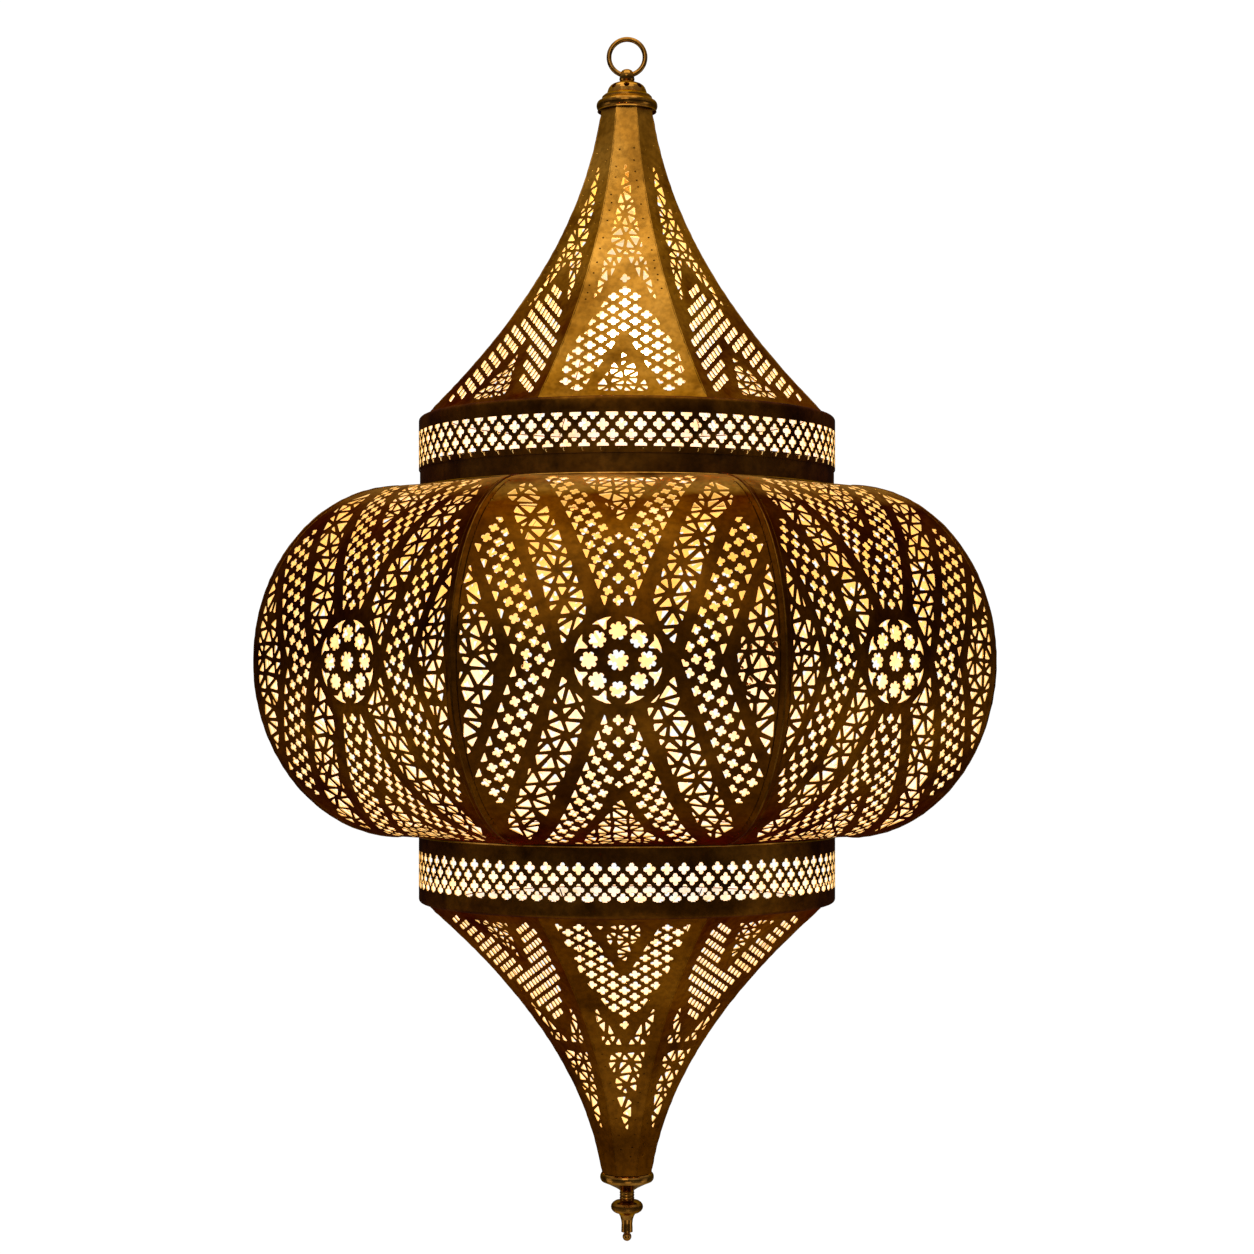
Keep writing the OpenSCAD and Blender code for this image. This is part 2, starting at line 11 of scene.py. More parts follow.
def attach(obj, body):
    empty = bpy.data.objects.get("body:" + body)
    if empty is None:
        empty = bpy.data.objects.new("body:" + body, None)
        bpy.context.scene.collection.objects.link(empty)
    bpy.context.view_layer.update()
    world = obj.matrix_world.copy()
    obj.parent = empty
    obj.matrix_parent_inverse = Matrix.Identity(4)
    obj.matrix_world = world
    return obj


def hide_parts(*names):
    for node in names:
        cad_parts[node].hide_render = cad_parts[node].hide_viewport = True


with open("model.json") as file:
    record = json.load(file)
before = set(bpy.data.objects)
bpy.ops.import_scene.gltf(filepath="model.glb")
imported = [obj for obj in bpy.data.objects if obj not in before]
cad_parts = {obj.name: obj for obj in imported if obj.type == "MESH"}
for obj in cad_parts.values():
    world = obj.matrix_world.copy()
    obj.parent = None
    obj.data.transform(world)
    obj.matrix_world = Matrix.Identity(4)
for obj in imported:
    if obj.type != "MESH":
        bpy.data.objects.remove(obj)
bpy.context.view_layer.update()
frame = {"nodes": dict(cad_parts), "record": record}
nodes = frame["nodes"]

# --- Driving dimensions of the part, in millimetres
MM = 0.001
SIDES = 8
STEP = 2 * math.pi / SIDES
TAN = math.tan(STEP / 2)
SHEET = 0.8
SEAM_GAP = 0.12

SPIRE_TOP, FLANK_TOP, SPIRE_H = -50.0, -54.0, 229.2
NECK_A, SPIRE_FLARE, SPIRE_CURVE = 19.0, 32.5, 90.4
COLLAR_R, COLLAR_ROUND, FLANGE_R = 155.6, 3.0, 134.0
COLLAR_TOP = FLANK_TOP - SPIRE_H
UPPER_COLLAR_H, LOWER_COLLAR_H = 55.4, 52.0
BULB_TOP = COLLAR_TOP - UPPER_COLLAR_H
NECK_BAND_H = 16.0
BULB_HALF, MOUTH_A, SWELL, BULB_FLANGE_A = 126.7, 160.8, 101.4, 141.0
EQUATOR = BULB_TOP - BULB_HALF
BULB_FOOT = EQUATOR - BULB_HALF
COLLAR_FOOT = BULB_FOOT - LOWER_COLLAR_H
CONE_H, TIP_A, CONE_FLARE, CONE_CURVE = 203.2, 18.3, 30.6, 93.0
TIP = COLLAR_FOOT - CONE_H
DOOR_HALF, DOOR_GAP = 120.0, 0.4

# Quatrefoil before it is scaled: distance to the middle of a lobe, its radius, the notches and the reach
LOBE_AT, LOBE_R, NOTCH_AT, LOBE_REACH = 2.45, 1.75, 2.15, 4.2
SHORTEST_EDGE = 0.25  # points of a hole closer together than this are merged
SMALLEST_FOIL, SMALLEST_TRIANGLE = 10.0, 3.2  # square millimetres, anything smaller isn't cut
DENT_R, DENT_DEEP = 0.8, 0.7
GROOVE_HALF, GROOVE_DEEP = 0.45, 0.45
PANEL_WOBBLE, WOBBLE_SCALE, STILL_EDGE = 0.9, 0.03, 12.0  # depth, fineness and the edge it fades out over
ANYWHERE = 1e9  # no limit


# --- Profiles: distance s along the sheet -> (a, z), a being the distance from the axis to the flat
def table(a, z, start):
    s = np.concatenate([[0], np.cumsum(np.hypot(np.diff(a), np.diff(z)))]) + start
    return s, a, z


def bulb_table():
    sweep = np.linspace(-math.pi / 2, math.pi / 2, 1441)
    a = MOUTH_A + SWELL * np.cos(sweep)
    z = EQUATOR + BULB_HALF * np.sin(sweep)
    a = np.concatenate([[BULB_FLANGE_A], a, [BULB_FLANGE_A]])
    z = np.concatenate([[z[0]], z, [z[-1]]])
    s, a, z = table(a, z, 0)
    return s - s[-1] / 2, a, z


def spire_table():
    t = np.linspace(0, 1, 801)
    a = np.concatenate([[NECK_A], NECK_A + SPIRE_FLARE * t + SPIRE_CURVE * t * t])
    z = np.concatenate([[SPIRE_TOP], FLANK_TOP - SPIRE_H * t])
    return table(a, z, FLANK_TOP - SPIRE_TOP)


def cone_table():
    t = np.linspace(0, 1, 801)
    return table(TIP_A + CONE_FLARE * t + CONE_CURVE * t * t, TIP + CONE_H * t, 0)


def collar_table(strip_h):
    sweep = np.radians(np.linspace(90, 0, 9))
    a = np.concatenate([[FLANGE_R], COLLAR_R - COLLAR_ROUND * (1 - np.cos(sweep)), [COLLAR_R]])
    z = np.concatenate([[0], COLLAR_ROUND * (np.sin(sweep) - 1), [-strip_h]])
    return table(a, z, 0)


def at(prof, s):
    return np.interp(s, prof[0], prof[1]), np.interp(s, prof[0], prof[2])


def outward(prof, s, step):
    """The outward normal (across, up) of a profile at s, from the points a step either side."""
    (a1, z1), (a0, z0) = at(prof, s + step), at(prof, s - step)
    length = np.hypot(a1 - a0, z1 - z0) + 1e-9
    sign = 1.0 if prof[2][-1] > prof[2][0] else -1.0
    return sign * (z1 - z0) / length, -sign * (a1 - a0) / length


def half_width(prof, s):
    return float(np.interp(s, prof[0], prof[1])) * TAN


# --- Punched shapes, as lists of (u, s) points in millimetres
def polar(cx, cy, radii, turn=0.0):
    n = len(radii)
    return [(cx + r * math.cos(turn + 2 * math.pi * i / n), cy + r * math.sin(turn + 2 * math.pi * i / n))
            for i, r in enumerate(radii)]


def quatrefoil(cx, cy, size, turn):
    """Four round lobes; size is the reach of a lobe and turn the direction of the first one."""
    k = size / LOBE_REACH
    points = []
    for lobe in range(4):
        d = turn + lobe * math.pi / 2
        for q in (-1.45, -0.5, 0.5, 1.45):
            x, y = LOBE_AT + LOBE_R * math.cos(q), LOBE_R * math.sin(q)
            points.append((x * math.cos(d) - y * math.sin(d), x * math.sin(d) + y * math.cos(d)))
        notch = d + math.pi / 4
        points.append((NOTCH_AT * math.cos(notch), NOTCH_AT * math.sin(notch)))
    return [(cx + k * x, cy + k * y) for x, y in points]


def star(cx, cy, reach, inner, count, turn):
    """A star with blunt points."""
    return polar(cx, cy, [reach * 0.97, reach, reach * 0.97, inner] * count, turn)


def area(poly):
    return 0.5 * sum(a[0] * b[1] - b[0] * a[1] for a, b in zip(poly, poly[1:] + poly[:1]))


def clamp_to(poly, low=lambda _: -ANYWHERE, high=lambda _: ANYWHERE, s_min=-ANYWHERE, s_max=ANYWHERE):
    """Pushes the points of a shape back between two edges u = low(s) and u = high(s), and two levels."""
    clean = []
    for u, s in poly:
        s = min(max(s, s_min), s_max)
        p = (min(max(u, low(s)), high(s)), s)
        if not clean or math.dist(p, clean[-1]) > SHORTEST_EDGE:
            clean.append(p)
    if len(clean) > 2 and math.dist(clean[0], clean[-1]) <= SHORTEST_EDGE:
        clean.pop()
    return clean


def shrunk_triangle(a, b, c, bar):
    """A triangle inset by half a bar on every side, with blunt corners. None if too little is left."""
    least_inradius, blunt, blunt_share = 0.55, 0.8, 0.4
    pts = [np.array(p, float) for p in (a, b, c)]
    sides = [np.linalg.norm(pts[(i + 1) % 3] - pts[(i + 2) % 3]) for i in range(3)]
    (x1, y1), (x2, y2) = pts[1] - pts[0], pts[2] - pts[0]
    if sum(sides) < 1e-6:
        return None
    inradius = abs(x1 * y2 - y1 * x2) / sum(sides)
    if inradius < bar / 2 + least_inradius:
        return None
    centre = sum(w * p for w, p in zip(sides, pts)) / sum(sides)
    k = 1 - (bar / 2) / inradius
    small = [centre + k * (p - centre) for p in pts]
    out = []
    for i, p in enumerate(small):
        for other in (small[i - 1], small[(i + 1) % 3]):
            d = other - p
            out.append(tuple(p + d * min(blunt_share, blunt / max(np.linalg.norm(d), 1e-6))))
    if area(out) < 0:
        out.reverse()
    return out


def turned_shape(shape, angle, scale):
    """The shape turned and scaled about its middle."""
    u0, s0 = centre_of(shape)
    c, d = scale * math.cos(angle), scale * math.sin(angle)
    return [(u0 + c * (u - u0) - d * (s - s0), s0 + d * (u - u0) + c * (s - s0)) for u, s in shape]


def mosaic(low, high, s_min, s_max, pitch, bar, rng, loose=0.2):
    """Triangular holes that fill the space between two edges, as if cut freely round star-shaped nodes.

    pitch is the usual distance between nodes, bar the metal left between two holes and loose the share of
    the pitch by which a node may stray.
    """
    narrow, fill_share, row_share, clear = 1.15, 0.93, 0.88, 0.3
    points = []
    s, row = s_min, 0
    while s < s_max + 0.3 * pitch:
        t = min(s, s_max)
        wide = high(t) - low(t)
        if wide < narrow * pitch:
            points.append((low(t) if row % 2 else high(t), t))
            s += pitch * (0.42 + 0.2 * wide / pitch) * rng.uniform(0.9, 1.1)
        else:
            count = max(1, round(wide / (fill_share * pitch)))
            places = [i + 0.5 * (row % 2) for i in range(count + 1)]
            spots = sorted({0.0, 1.0} | {q / count for q in places if clear < q < count - clear})
            for f in spots:
                slide = rng.uniform(-loose, loose) * pitch if s_min < t < s_max else 0
                if f in (0.0, 1.0):
                    q = min(max(t + slide, s_min), s_max)
                    points.append((high(q) if f else low(q), q))
                else:
                    points.append((low(t) + wide * f + rng.uniform(-loose, loose) * pitch, t + slide))
            s += row_share * pitch
        row += 1
    verts, _, faces, _, _, _ = delaunay_2d_cdt([Vector(p) for p in points], [], [], 0, 1e-4, True)
    holes = []
    for f in faces:
        tri = [tuple(verts[i]) for i in f]
        cu, cs = centre_of(tri)
        hole = shrunk_triangle(*tri, bar) if low(cs) < cu < high(cs) else None
        if hole:
            hole = turned_shape(hole, rng.uniform(0.04, 0.2), rng.uniform(0.92, 1.05))
            hole = clamp_to(hole, lambda q: low(q) + bar / 3, lambda q: high(q) - bar / 3)
            if len(hole) > 2 and abs(area(hole)) > SMALLEST_TRIANGLE:
                holes.append(hole)
    return holes


def slot_rows(rising, row_gap, pitch, width, height, field, gap, band, s_min, s_max, rng):
    """Slanting rows of short upright slots, kept inside the field and clear of a band round the middle."""
    chamfer, spare_rows, widest = 0.7, 12, 60
    holes = []
    reach = int(widest / pitch)
    for row in range(-spare_rows, int((s_max - s_min) / row_gap) + spare_rows):
        for k in range(-reach, reach + 1):
            u = (k + 0.5 * (row % 2)) * pitch + rng.uniform(-0.15, 0.15)
            s = s_min + row * row_gap + rising * u
            clear = s_min + 1.5 < s < s_max - 1.5 and abs(u) < field(s) + 0.8
            if not clear or (gap(s) > -2 and abs(u) < gap(s) + band + width / 4):
                continue
            w, h = width / 2 * rng.uniform(0.93, 1.05), height / 2 * rng.uniform(0.93, 1.05)
            x, y = w - chamfer, h - chamfer
            box = [(-w, -y), (-x, -h), (x, -h), (w, -y), (w, y), (x, h), (-x, h), (-w, y)]
            slot = [(u + p, s + q + rising * p) for p, q in box]
            holes.append(clamp_to(slot, s_min=s_min, s_max=s_max))
    return holes


def lattice(low, high, s_min, s_max, rng, base, across, along, cols, rows, size, turn, shift):
    """Rows of quatrefoils on a slanting lattice, with a column of pointed triangles along the outer edge.

    A quatrefoil on an edge keeps only what fits inside it. The triangles stand in by shift from their
    places on the lattice.
    """
    stray, border_gap, middle_gap = 0.25, 2.5, 6
    holes = []
    for row in rows:
        for col in cols:
            u = base[0] + col * across[0] + row * along[0] + rng.uniform(-stray, stray)
            s = base[1] + col * across[1] + row * along[1] + rng.uniform(-stray, stray)
            if not (s_min - 1 < s < s_max + 1 and low(s) - 1.2 < u):
                continue
            if col == cols[-1]:
                if u < bulb_border(s) - border_gap and s > middle_gap:
                    corners = [(u - shift + p, s + q) for p, q in ((-0.1, -3.7), (2.9, 3.7), (-1.9, 2.8))]
                    holes.append(shrunk_triangle(*corners, 0.0))
            elif u <= high(s) + 1.2:
                shape = quatrefoil(u, s, size * rng.uniform(0.95, 1.05), turn + rng.uniform(-0.09, 0.09))
                shape = clamp_to(shape, low, high, s_min, s_max)
                if len(shape) > 3 and abs(area(shape)) > SMALLEST_FOIL:
                    holes.append(shape)
    return holes


def mirrored(holes, mu, ms):
    """The same holes on another quarter; mu and ms are 1 or -1."""
    out = []
    for h in holes:
        m = [(mu * u, ms * s) for u, s in h]
        if mu * ms < 0:
            m.reverse()
        out.append(m)
    return out


def centre_of(h):
    return sum(p[0] for p in h) / len(h), sum(p[1] for p in h) / len(h)


def spaced(holes, gap):
    """Keeps the first of any holes whose middles are closer than gap."""
    kept, middles = [], []
    for h in holes:
        c = centre_of(h)
        if all(math.dist(c, m) > gap for m in middles):
            kept.append(h)
            middles.append(c)
    return kept


# --- The bulb panel's pattern. Plain bands run as straight lines u = start + slope * |s|.
BULB_S0 = -1.5  # the pattern's middle, from the bulb's equator
# name: where the band's middle crosses the equator, its slope and its half width
BANDS = {"a": (1.5, 0.365, 4.9), "b": (36.6, 0.357, 3.85), "c": (70.6, 0.34, 3.55), "d": (-44.2, 0.5, 3.2)}
RING_OUT = 34.6
PATTERN_TOP = 160
MOSAIC_OVER = 1.1  # how far a field of triangles runs on under the band beside it
# The rosette: reach and notch of its stars, the ring that eight of them stand on, and the wedges between
# them as (distance, angle) points
MIDDLE_STAR, RING_STAR = (6.9, 4.7), (5.8, 4.1)
ROSETTE_R, ROSETTE_COUNT = 19, 8
WEDGE = [(28.6, -0.235), (28.9, -0.1), (28.9, 0.1), (28.6, 0.235),
         (26.4, 0.1), (21.6, 0.03), (21.6, -0.03), (26.4, -0.1)]
# Quatrefoils on the middle line: distance from the pattern's middle and size
MIDDLE_FOILS = ((39, 3.6), (54, 3.8), (71.5, 3.4), (86, 2.7))
OUTER_STRIP = {"base": (54.4, 11.9), "across": (8.5, 3.4), "along": (3.96, 11.5),
               "cols": range(-1, 3), "rows": range(-1, 9), "size": 3.6, "turn": 1.84, "shift": 0.0}
INNER_STRIP = {"base": (6.9, 45.7), "across": (8.0, 3.95), "along": (3.93, 11.0),
               "cols": range(-2, 2), "rows": range(-1, 12), "size": 3.55, "turn": 1.88, "shift": 1.9}


def edge(name, side):
    """One side of a plain band: 1 is the side away from the panel's middle, -1 the side towards it."""
    start, slope, half = BANDS[name]
    return lambda s: start + slope * abs(s) + side * half * math.hypot(1, slope)


def bulb_border(s):
    """Where the pattern ends beside the seam."""
    return 102.6 - 9.2e-5 * abs(s) ** 2.6


def rosette_holes(rng):
    holes = [star(0, 0, *MIDDLE_STAR, 8, 0.1)]
    for k in range(ROSETTE_COUNT):
        d = 2 * math.pi * k / ROSETTE_COUNT
        x, y = ROSETTE_R * math.cos(d), ROSETTE_R * math.sin(d)
        holes.append(star(x, y, RING_STAR[0] * rng.uniform(0.96, 1.04), RING_STAR[1], 7, rng.uniform(0, 1)))
        d += math.pi / ROSETTE_COUNT
        holes.append([(r * math.cos(d + q), r * math.sin(d + q)) for r, q in WEDGE])
    return holes


def bulb_holes(seed):
    """A rosette in the middle and the same strips and fields in each quarter round it."""
    strip_high = lambda s: min(edge("c", -1)(s), bulb_border(s))
    inner_low = lambda s: max(edge("d", 1)(s), 1.6)
    ab_low = lambda s: max(edge("a", 1)(s), math.sqrt(max(0, RING_OUT ** 2 - s * s))) - MOSAIC_OVER
    ab_high = lambda s: min(edge("b", -1)(s), bulb_border(s)) + MOSAIC_OVER
    peak_half = lambda s: max(0.6, edge("d", -1)(s) + 0.9)
    c_low = lambda s: edge("c", 1)(s) - MOSAIC_OVER
    c_high = lambda s: bulb_border(s) + MOSAIC_OVER

    rng = random.Random(seed)
    holes = rosette_holes(rng)
    foils = [quatrefoil(0, ms * s, size, math.pi / 2) for ms in (1, -1) for s, size in MIDDLE_FOILS]
    for mu in (1, -1):
        for ms in (1, -1):
            # strips of quatrefoils between bands b and c, and between the middle chevron d and band a
            strip = lattice(edge("b", 1), strip_high, -4, 101.5, rng, **OUTER_STRIP)
            strip += lattice(inner_low, edge("a", -1), 35.5, PATTERN_TOP, rng, **INNER_STRIP)
            foils += mirrored(strip, mu, ms)
            # triangles between bands a and b, and small ones inside the chevron
            holes += mirrored(mosaic(ab_low, ab_high, 8, 150, 12.4, 2.7, rng), mu, ms)
            if mu > 0:
                peak = mosaic(lambda s: -peak_half(s), peak_half, 97, PATTERN_TOP, 10.4, 2.2, rng)
                holes += mirrored(peak, mu, ms)
        # triangles between band c and the seam
        holes += mirrored(mosaic(c_low, c_high, -76, 76, 12.2, 2.7, rng), mu, 1)
    holes += spaced(foils, 5.4)
    return [[(u, s + BULB_S0) for u, s in h] for h in holes]


# --- The spire's and the cone's patterns
def crossed_field(rows, spacing, field, gap, band, s_min, s_max, size, rng):
    """Staggered quatrefoils inside |u| < field(s), clear of a plain chevron that runs along |u| = gap(s)."""
    cols, apex, stray = 7, -3, 0.3
    holes = []
    for j, s in enumerate(rows):
        for k in range(-cols, cols + 1):
            if (j + k) % 2:
                continue
            u, t = spacing * k + rng.uniform(-stray, stray), s + rng.uniform(-stray, stray)
            forked = gap(t) > apex
            if abs(u) > field(t) + 0.8 or (forked and abs(u) < gap(t) + band - 1.0):
                continue
            side = 1 if u >= 0 else -1
            shape = quatrefoil(side * u, t, size * rng.uniform(0.95, 1.05), rng.uniform(-0.09, 0.09))
            beside_chevron = (lambda q: gap(q) + band) if forked and abs(u) > 4 else (lambda q: -9)
            shape = clamp_to(shape, beside_chevron, field, s_min, s_max)
            if len(shape) > 3 and abs(area(shape)) > SMALLEST_FOIL:
                holes += mirrored([shape], side, 1)
    return holes


def arrow_holes(outer, inner, s_tip, s_fork, s_end, pitch, bar, rng):
    """Triangles in an arrow's shape: one field from its tip to the fork, then a tail on either side."""
    holes = mosaic(lambda s: -outer(s), outer, s_tip, s_fork, pitch, bar, rng, 0.16)
    for mu in (1, -1):
        tail = mosaic(lambda s: max(inner(s), 0.2), outer, s_fork + 0.5, s_end, pitch, bar, rng, 0.1)
        holes += mirrored(tail, mu, 1)
    return holes


def chevron_holes(gap, clear, s_min, s_max, pitch, bar, rng):
    """Triangles between the two arms of the plain chevron."""
    half = lambda s: max(0.4, gap(s) - clear)
    return mosaic(lambda s: -half(s), half, s_min, s_max, pitch, bar, rng, 0.16)


def spire_holes(side, seed):
    """Even sides have crossed quatrefoils in the arch, odd sides have slanting rows of slots."""
    outer = lambda s: 23.4 * max(0.0, (s - 36) / 133.4) ** 1.25 + 1.4
    inner = lambda s: 0.49 * (s - 123.5) - 0.3
    field = lambda s: min(0.535 * (s - 139), 12.3 + 0.5 * (s - 162), 33.4 + 0.37 * (s - 203),
                          42.2 + 0.21 * (s - 234))
    gap = lambda s: 15 + 0.46 * (s - 236)
    band, foot = 4.2, 257

    rng = random.Random(seed)
    holes = arrow_holes(outer, inner, 37, 124, 172, 10.8, 2.2, rng)
    if side % 2:
        lean = -0.72 if side % 4 == 1 else 0.72
        holes += slot_rows(lean, 10.2, 4.9, 3.7, 6.4, field, gap, band, 141, foot, rng)
    else:
        rows = [145 + 5.7 * j + 0.02 * j * j for j in range(21)]
        holes += crossed_field(rows, 8.0, field, gap, band, 139.5, foot, 4.2, rng)
    return holes + chevron_holes(gap, 3.2, 211, foot + 1, 9.6, 2.0, rng)


def cone_holes(side, seed):
    """The same order as the spire's, seen from the tip upwards."""
    outer = lambda s: 24 * max(0.0, (s - 32) / 121.5) ** 1.05 + 1.4
    inner = lambda s: 0.54 * (s - 110) - 0.3
    field = lambda s: min(0.575 * (s - 126), 31.3 + 0.29 * (s - 180), 42 + 0.31 * (s - 218))
    gap = lambda s: 7.6 + 0.44 * (s - 200)
    band, head = 3.9, 236

    rng = random.Random(seed)
    holes = arrow_holes(outer, inner, 34, 110, 156, 11.0, 2.5, rng)
    if side % 2:
        lean = -0.55 if side % 4 == 1 else 0.55
        holes += slot_rows(lean, 8.3, 4.9, 3.6, 5.1, field, gap, band, 128, head, rng)
    else:
        rows = [130.5 + 5.62 * j for j in range(21)]
        holes += crossed_field(rows, 7.7, field, gap, band, 126.5, head, 4.05, rng)
    return holes + chevron_holes(gap, 3.0, 193, head, 9.0, 2.3, rng)


def collar_holes(columns, rows, flat, seed):
    """Staggered rows of quatrefoils round a drum. The first row is cut flat, that far above its middle."""
    size, stray = 4.35, 0.35
    rng = random.Random(seed)
    pitch = 2 * math.pi * COLLAR_R / columns
    holes = []
    for n, s in enumerate(rows):
        for c in range(columns):
            u = (c + 0.5 * ((n + 1) % 2) + 0.25) * pitch + rng.uniform(-stray, stray)
            shape = quatrefoil(u, s + rng.uniform(-0.2, 0.2), size * rng.uniform(0.95, 1.03),
                               rng.uniform(-0.07, 0.07))
            if n == 0:
                shape = clamp_to(shape, s_min=s - flat)
            holes.append(shape)
    return holes


# --- Pierced sheet: flat outline and holes, triangulated, bent to the profile and given its thickness
def within_box(poly, pts):
    low, high = np.min(poly, axis=0), np.max(poly, axis=0)
    return np.all((pts > low) & (pts < high), axis=1)


def inside_polygon(poly, pts):
    inside_now = np.zeros(len(pts), bool)
    for (u0, s0), (u1, s1) in zip(poly, poly[1:] + poly[:1]):
        if s0 != s1:
            spans = (pts[:, 1] < s0) != (pts[:, 1] < s1)
            inside_now ^= spans & (pts[:, 0] < u0 + (pts[:, 1] - s0) * (u1 - u0) / (s1 - s0))
    return inside_now


def sheet_mesh(name, outline, holes, fill, place, dents=(), grooves=()):
    """The sheet with its holes cut, bent by place(u, s, depth), which gives the point at a depth into it.

    Faces have material 0 outside, 1 inside and 2 on the edges of the holes. fill is extra points that let
    the sheet bend, dents are hammer marks and grooves the points of scored lines.
    """
    points, faces = [], []
    for poly in [outline] + holes:
        faces.append(list(range(len(points), len(points) + len(poly))))
        points += [Vector(p) for p in poly]
    for u, s in dents:
        points += [Vector(p) for p in polar(u, s, [DENT_R] * 6)] + [Vector((u, s))]
    for u, s in grooves:
        points += [Vector((u - GROOVE_HALF, s)), Vector((u, s)), Vector((u + GROOVE_HALF, s))]
    points += [Vector(p) for p in fill]
    verts, _, tris, origins, _, _ = delaunay_2d_cdt(points, [], faces, 0, 1e-4, True)
    flat = np.array([tuple(v) for v in verts])
    middle = flat[np.array([list(t) for t in tris])].mean(axis=1)
    solid = inside_polygon(outline, middle)
    for hole in holes:
        near = np.flatnonzero(within_box(hole, middle))
        solid[near[inside_polygon(hole, middle[near])]] = False
    kept = [t for t, keep in zip(tris, solid) if keep]
    used = sorted({i for t in kept for i in t})
    index = {v: i for i, v in enumerate(used)}
    kept = [tuple(index[i] for i in t) for t in kept]
    us = np.array([verts[i][0] for i in used])
    ss = np.array([verts[i][1] for i in used])
    sink = np.zeros(len(used))
    for u, s in dents:
        sink[np.hypot(us - u, ss - s) < 0.2] = DENT_DEEP
    for u, s in grooves:
        sink[(np.abs(us - u) < 0.1) & (np.abs(ss - s) < 0.1)] = GROOVE_DEEP
    front, back = place(us, ss, sink), place(us, ss, sink + SHEET)
    n = len(used)
    a, b, c = (front[kept[0][k]] for k in range(3))
    if np.dot(np.cross(b - a, c - a), front[kept[0][0]] - back[kept[0][0]]) < 0:
        kept = [t[::-1] for t in kept]
    sides = dict.fromkeys((t[i], t[(i + 1) % 3]) for t in kept for i in range(3))
    rims = [e for e in sides if (e[1], e[0]) not in sides]
    polys = kept + [tuple(i + n for i in t[::-1]) for t in kept] + [(j, i, i + n, j + n) for i, j in rims]
    mesh = bpy.data.meshes.new(name)
    mesh.from_pydata((np.vstack([front, back]) * MM).tolist(), [], polys)
    # the panel's own border is soldered and dark, only the holes have cut edges with a painted glow
    border = [any(k < len(outline) for k in origins[i]) for i in used]
    kinds = [0] * len(kept) + [1] * len(kept) + [0 if border[i] and border[j] else 2 for i, j in rims]
    mesh.polygons.foreach_set("material_index", kinds)
    mesh.polygons.foreach_set("use_smooth", [True] * len(polys))
    mesh.set_sharp_from_angle(angle=math.radians(35))
    mesh.update()
    return mesh


def panel_place(prof, azimuth, wobble_seed):
    """Bends a flat panel to its profile at one of the eight sides, with a little hand-beaten unevenness."""
    out = np.array([math.cos(azimuth), math.sin(azimuth)])
    along = np.array([-math.sin(azimuth), math.cos(azimuth)])

    def place(u, s, depth):
        a, z = at(prof, s)
        na, nz = outward(prof, s, 0.4)
        wave = np.array([noise.noise(Vector((p * WOBBLE_SCALE, q * WOBBLE_SCALE, wobble_seed)))
                         for p, q in zip(u, s)])
        edge_fade = np.clip((a * TAN - np.abs(u)) / STILL_EDGE, 0, 1)
        d = PANEL_WOBBLE * wave * edge_fade - depth
        aa = a + na * d
        uu = u * (a - na * depth) / a
        return np.column_stack([aa * out[0] + uu * along[0], aa * out[1] + uu * along[1], z + nz * d])

    return place


def collar_place(prof, top, down):
    """Rolls a strip into a drum with its seam at the back. down is 1 for a drum below its flange, or -1."""
    def place(u, s, depth):
        a, z = at(prof, s)
        na, nz = outward(prof, s, 0.3)
        angle = u / COLLAR_R + math.pi / 2
        r = a - na * depth
        zz = z - nz * depth
        return np.column_stack([r * np.cos(angle), r * np.sin(angle), top + down * zz])

    return place


def grid_fill(prof, s_min, s_max, step_s, step_u, clear=1.6):
    """Points all over a panel, in rows that are staggered so that the triangles come out even."""
    stagger, off_line = 0.21, 0.13
    points = []
    rows = int((s_max - s_min) / step_s)
    for i in range(1, rows):
        s = s_min + (s_max - s_min) * i / rows
        w = half_width(prof, s) - clear
        cols = max(1, int(2 * w / step_u))
        for j in range(cols + 1):
            shift = stagger * step_u * (1 if i % 2 else -1) if 0 < j < cols else 0
            points.append((-w + 2 * w * j / cols + shift, s + off_line))
    return points


def panel_outline(prof, s_min, s_max, gap):
    step = 5
    steps = max(8, int((s_max - s_min) / step))
    ss = [s_min + (s_max - s_min) * i / steps for i in range(steps + 1)]
    right = [(half_width(prof, s) - gap, s) for s in ss]
    left = [(-half_width(prof, s) + gap, s) for s in reversed(ss)]
    return right + left


BULB, SPIRE, CONE = bulb_table(), spire_table(), cone_table()
DOOR_REACH = float(np.interp(DOOR_HALF, BULB[2] - EQUATOR, BULB[0]))  # half the door, along the sheet


def azimuth_of(i):
    """Direction of side i; side 0 is the door's, at the back."""
    return math.pi / 2 + STEP * i


def seam_dents(prof, s_min, s_max, offset, rng):
    """Small hammer marks here and there along both seams."""
    dots = []
    for side in (-1, 1):
        s = s_min + rng.uniform(0, 8)
        while s < s_max:
            dots.append((side * (half_width(prof, s) - offset - rng.uniform(-0.8, 0.8)), s))
            s += rng.uniform(5, 17)
    return dots


def seam_groove(prof, s_min, s_max, offset):
    """The scored line that runs beside each seam."""
    step = 4.0
    rows = int((s_max - s_min) / step)
    levels = [s_min + (s_max - s_min) * (i + 0.5) / rows for i in range(rows)]
    return [(side * (half_width(prof, s) - offset), s) for s in levels for side in (-1, 1)]


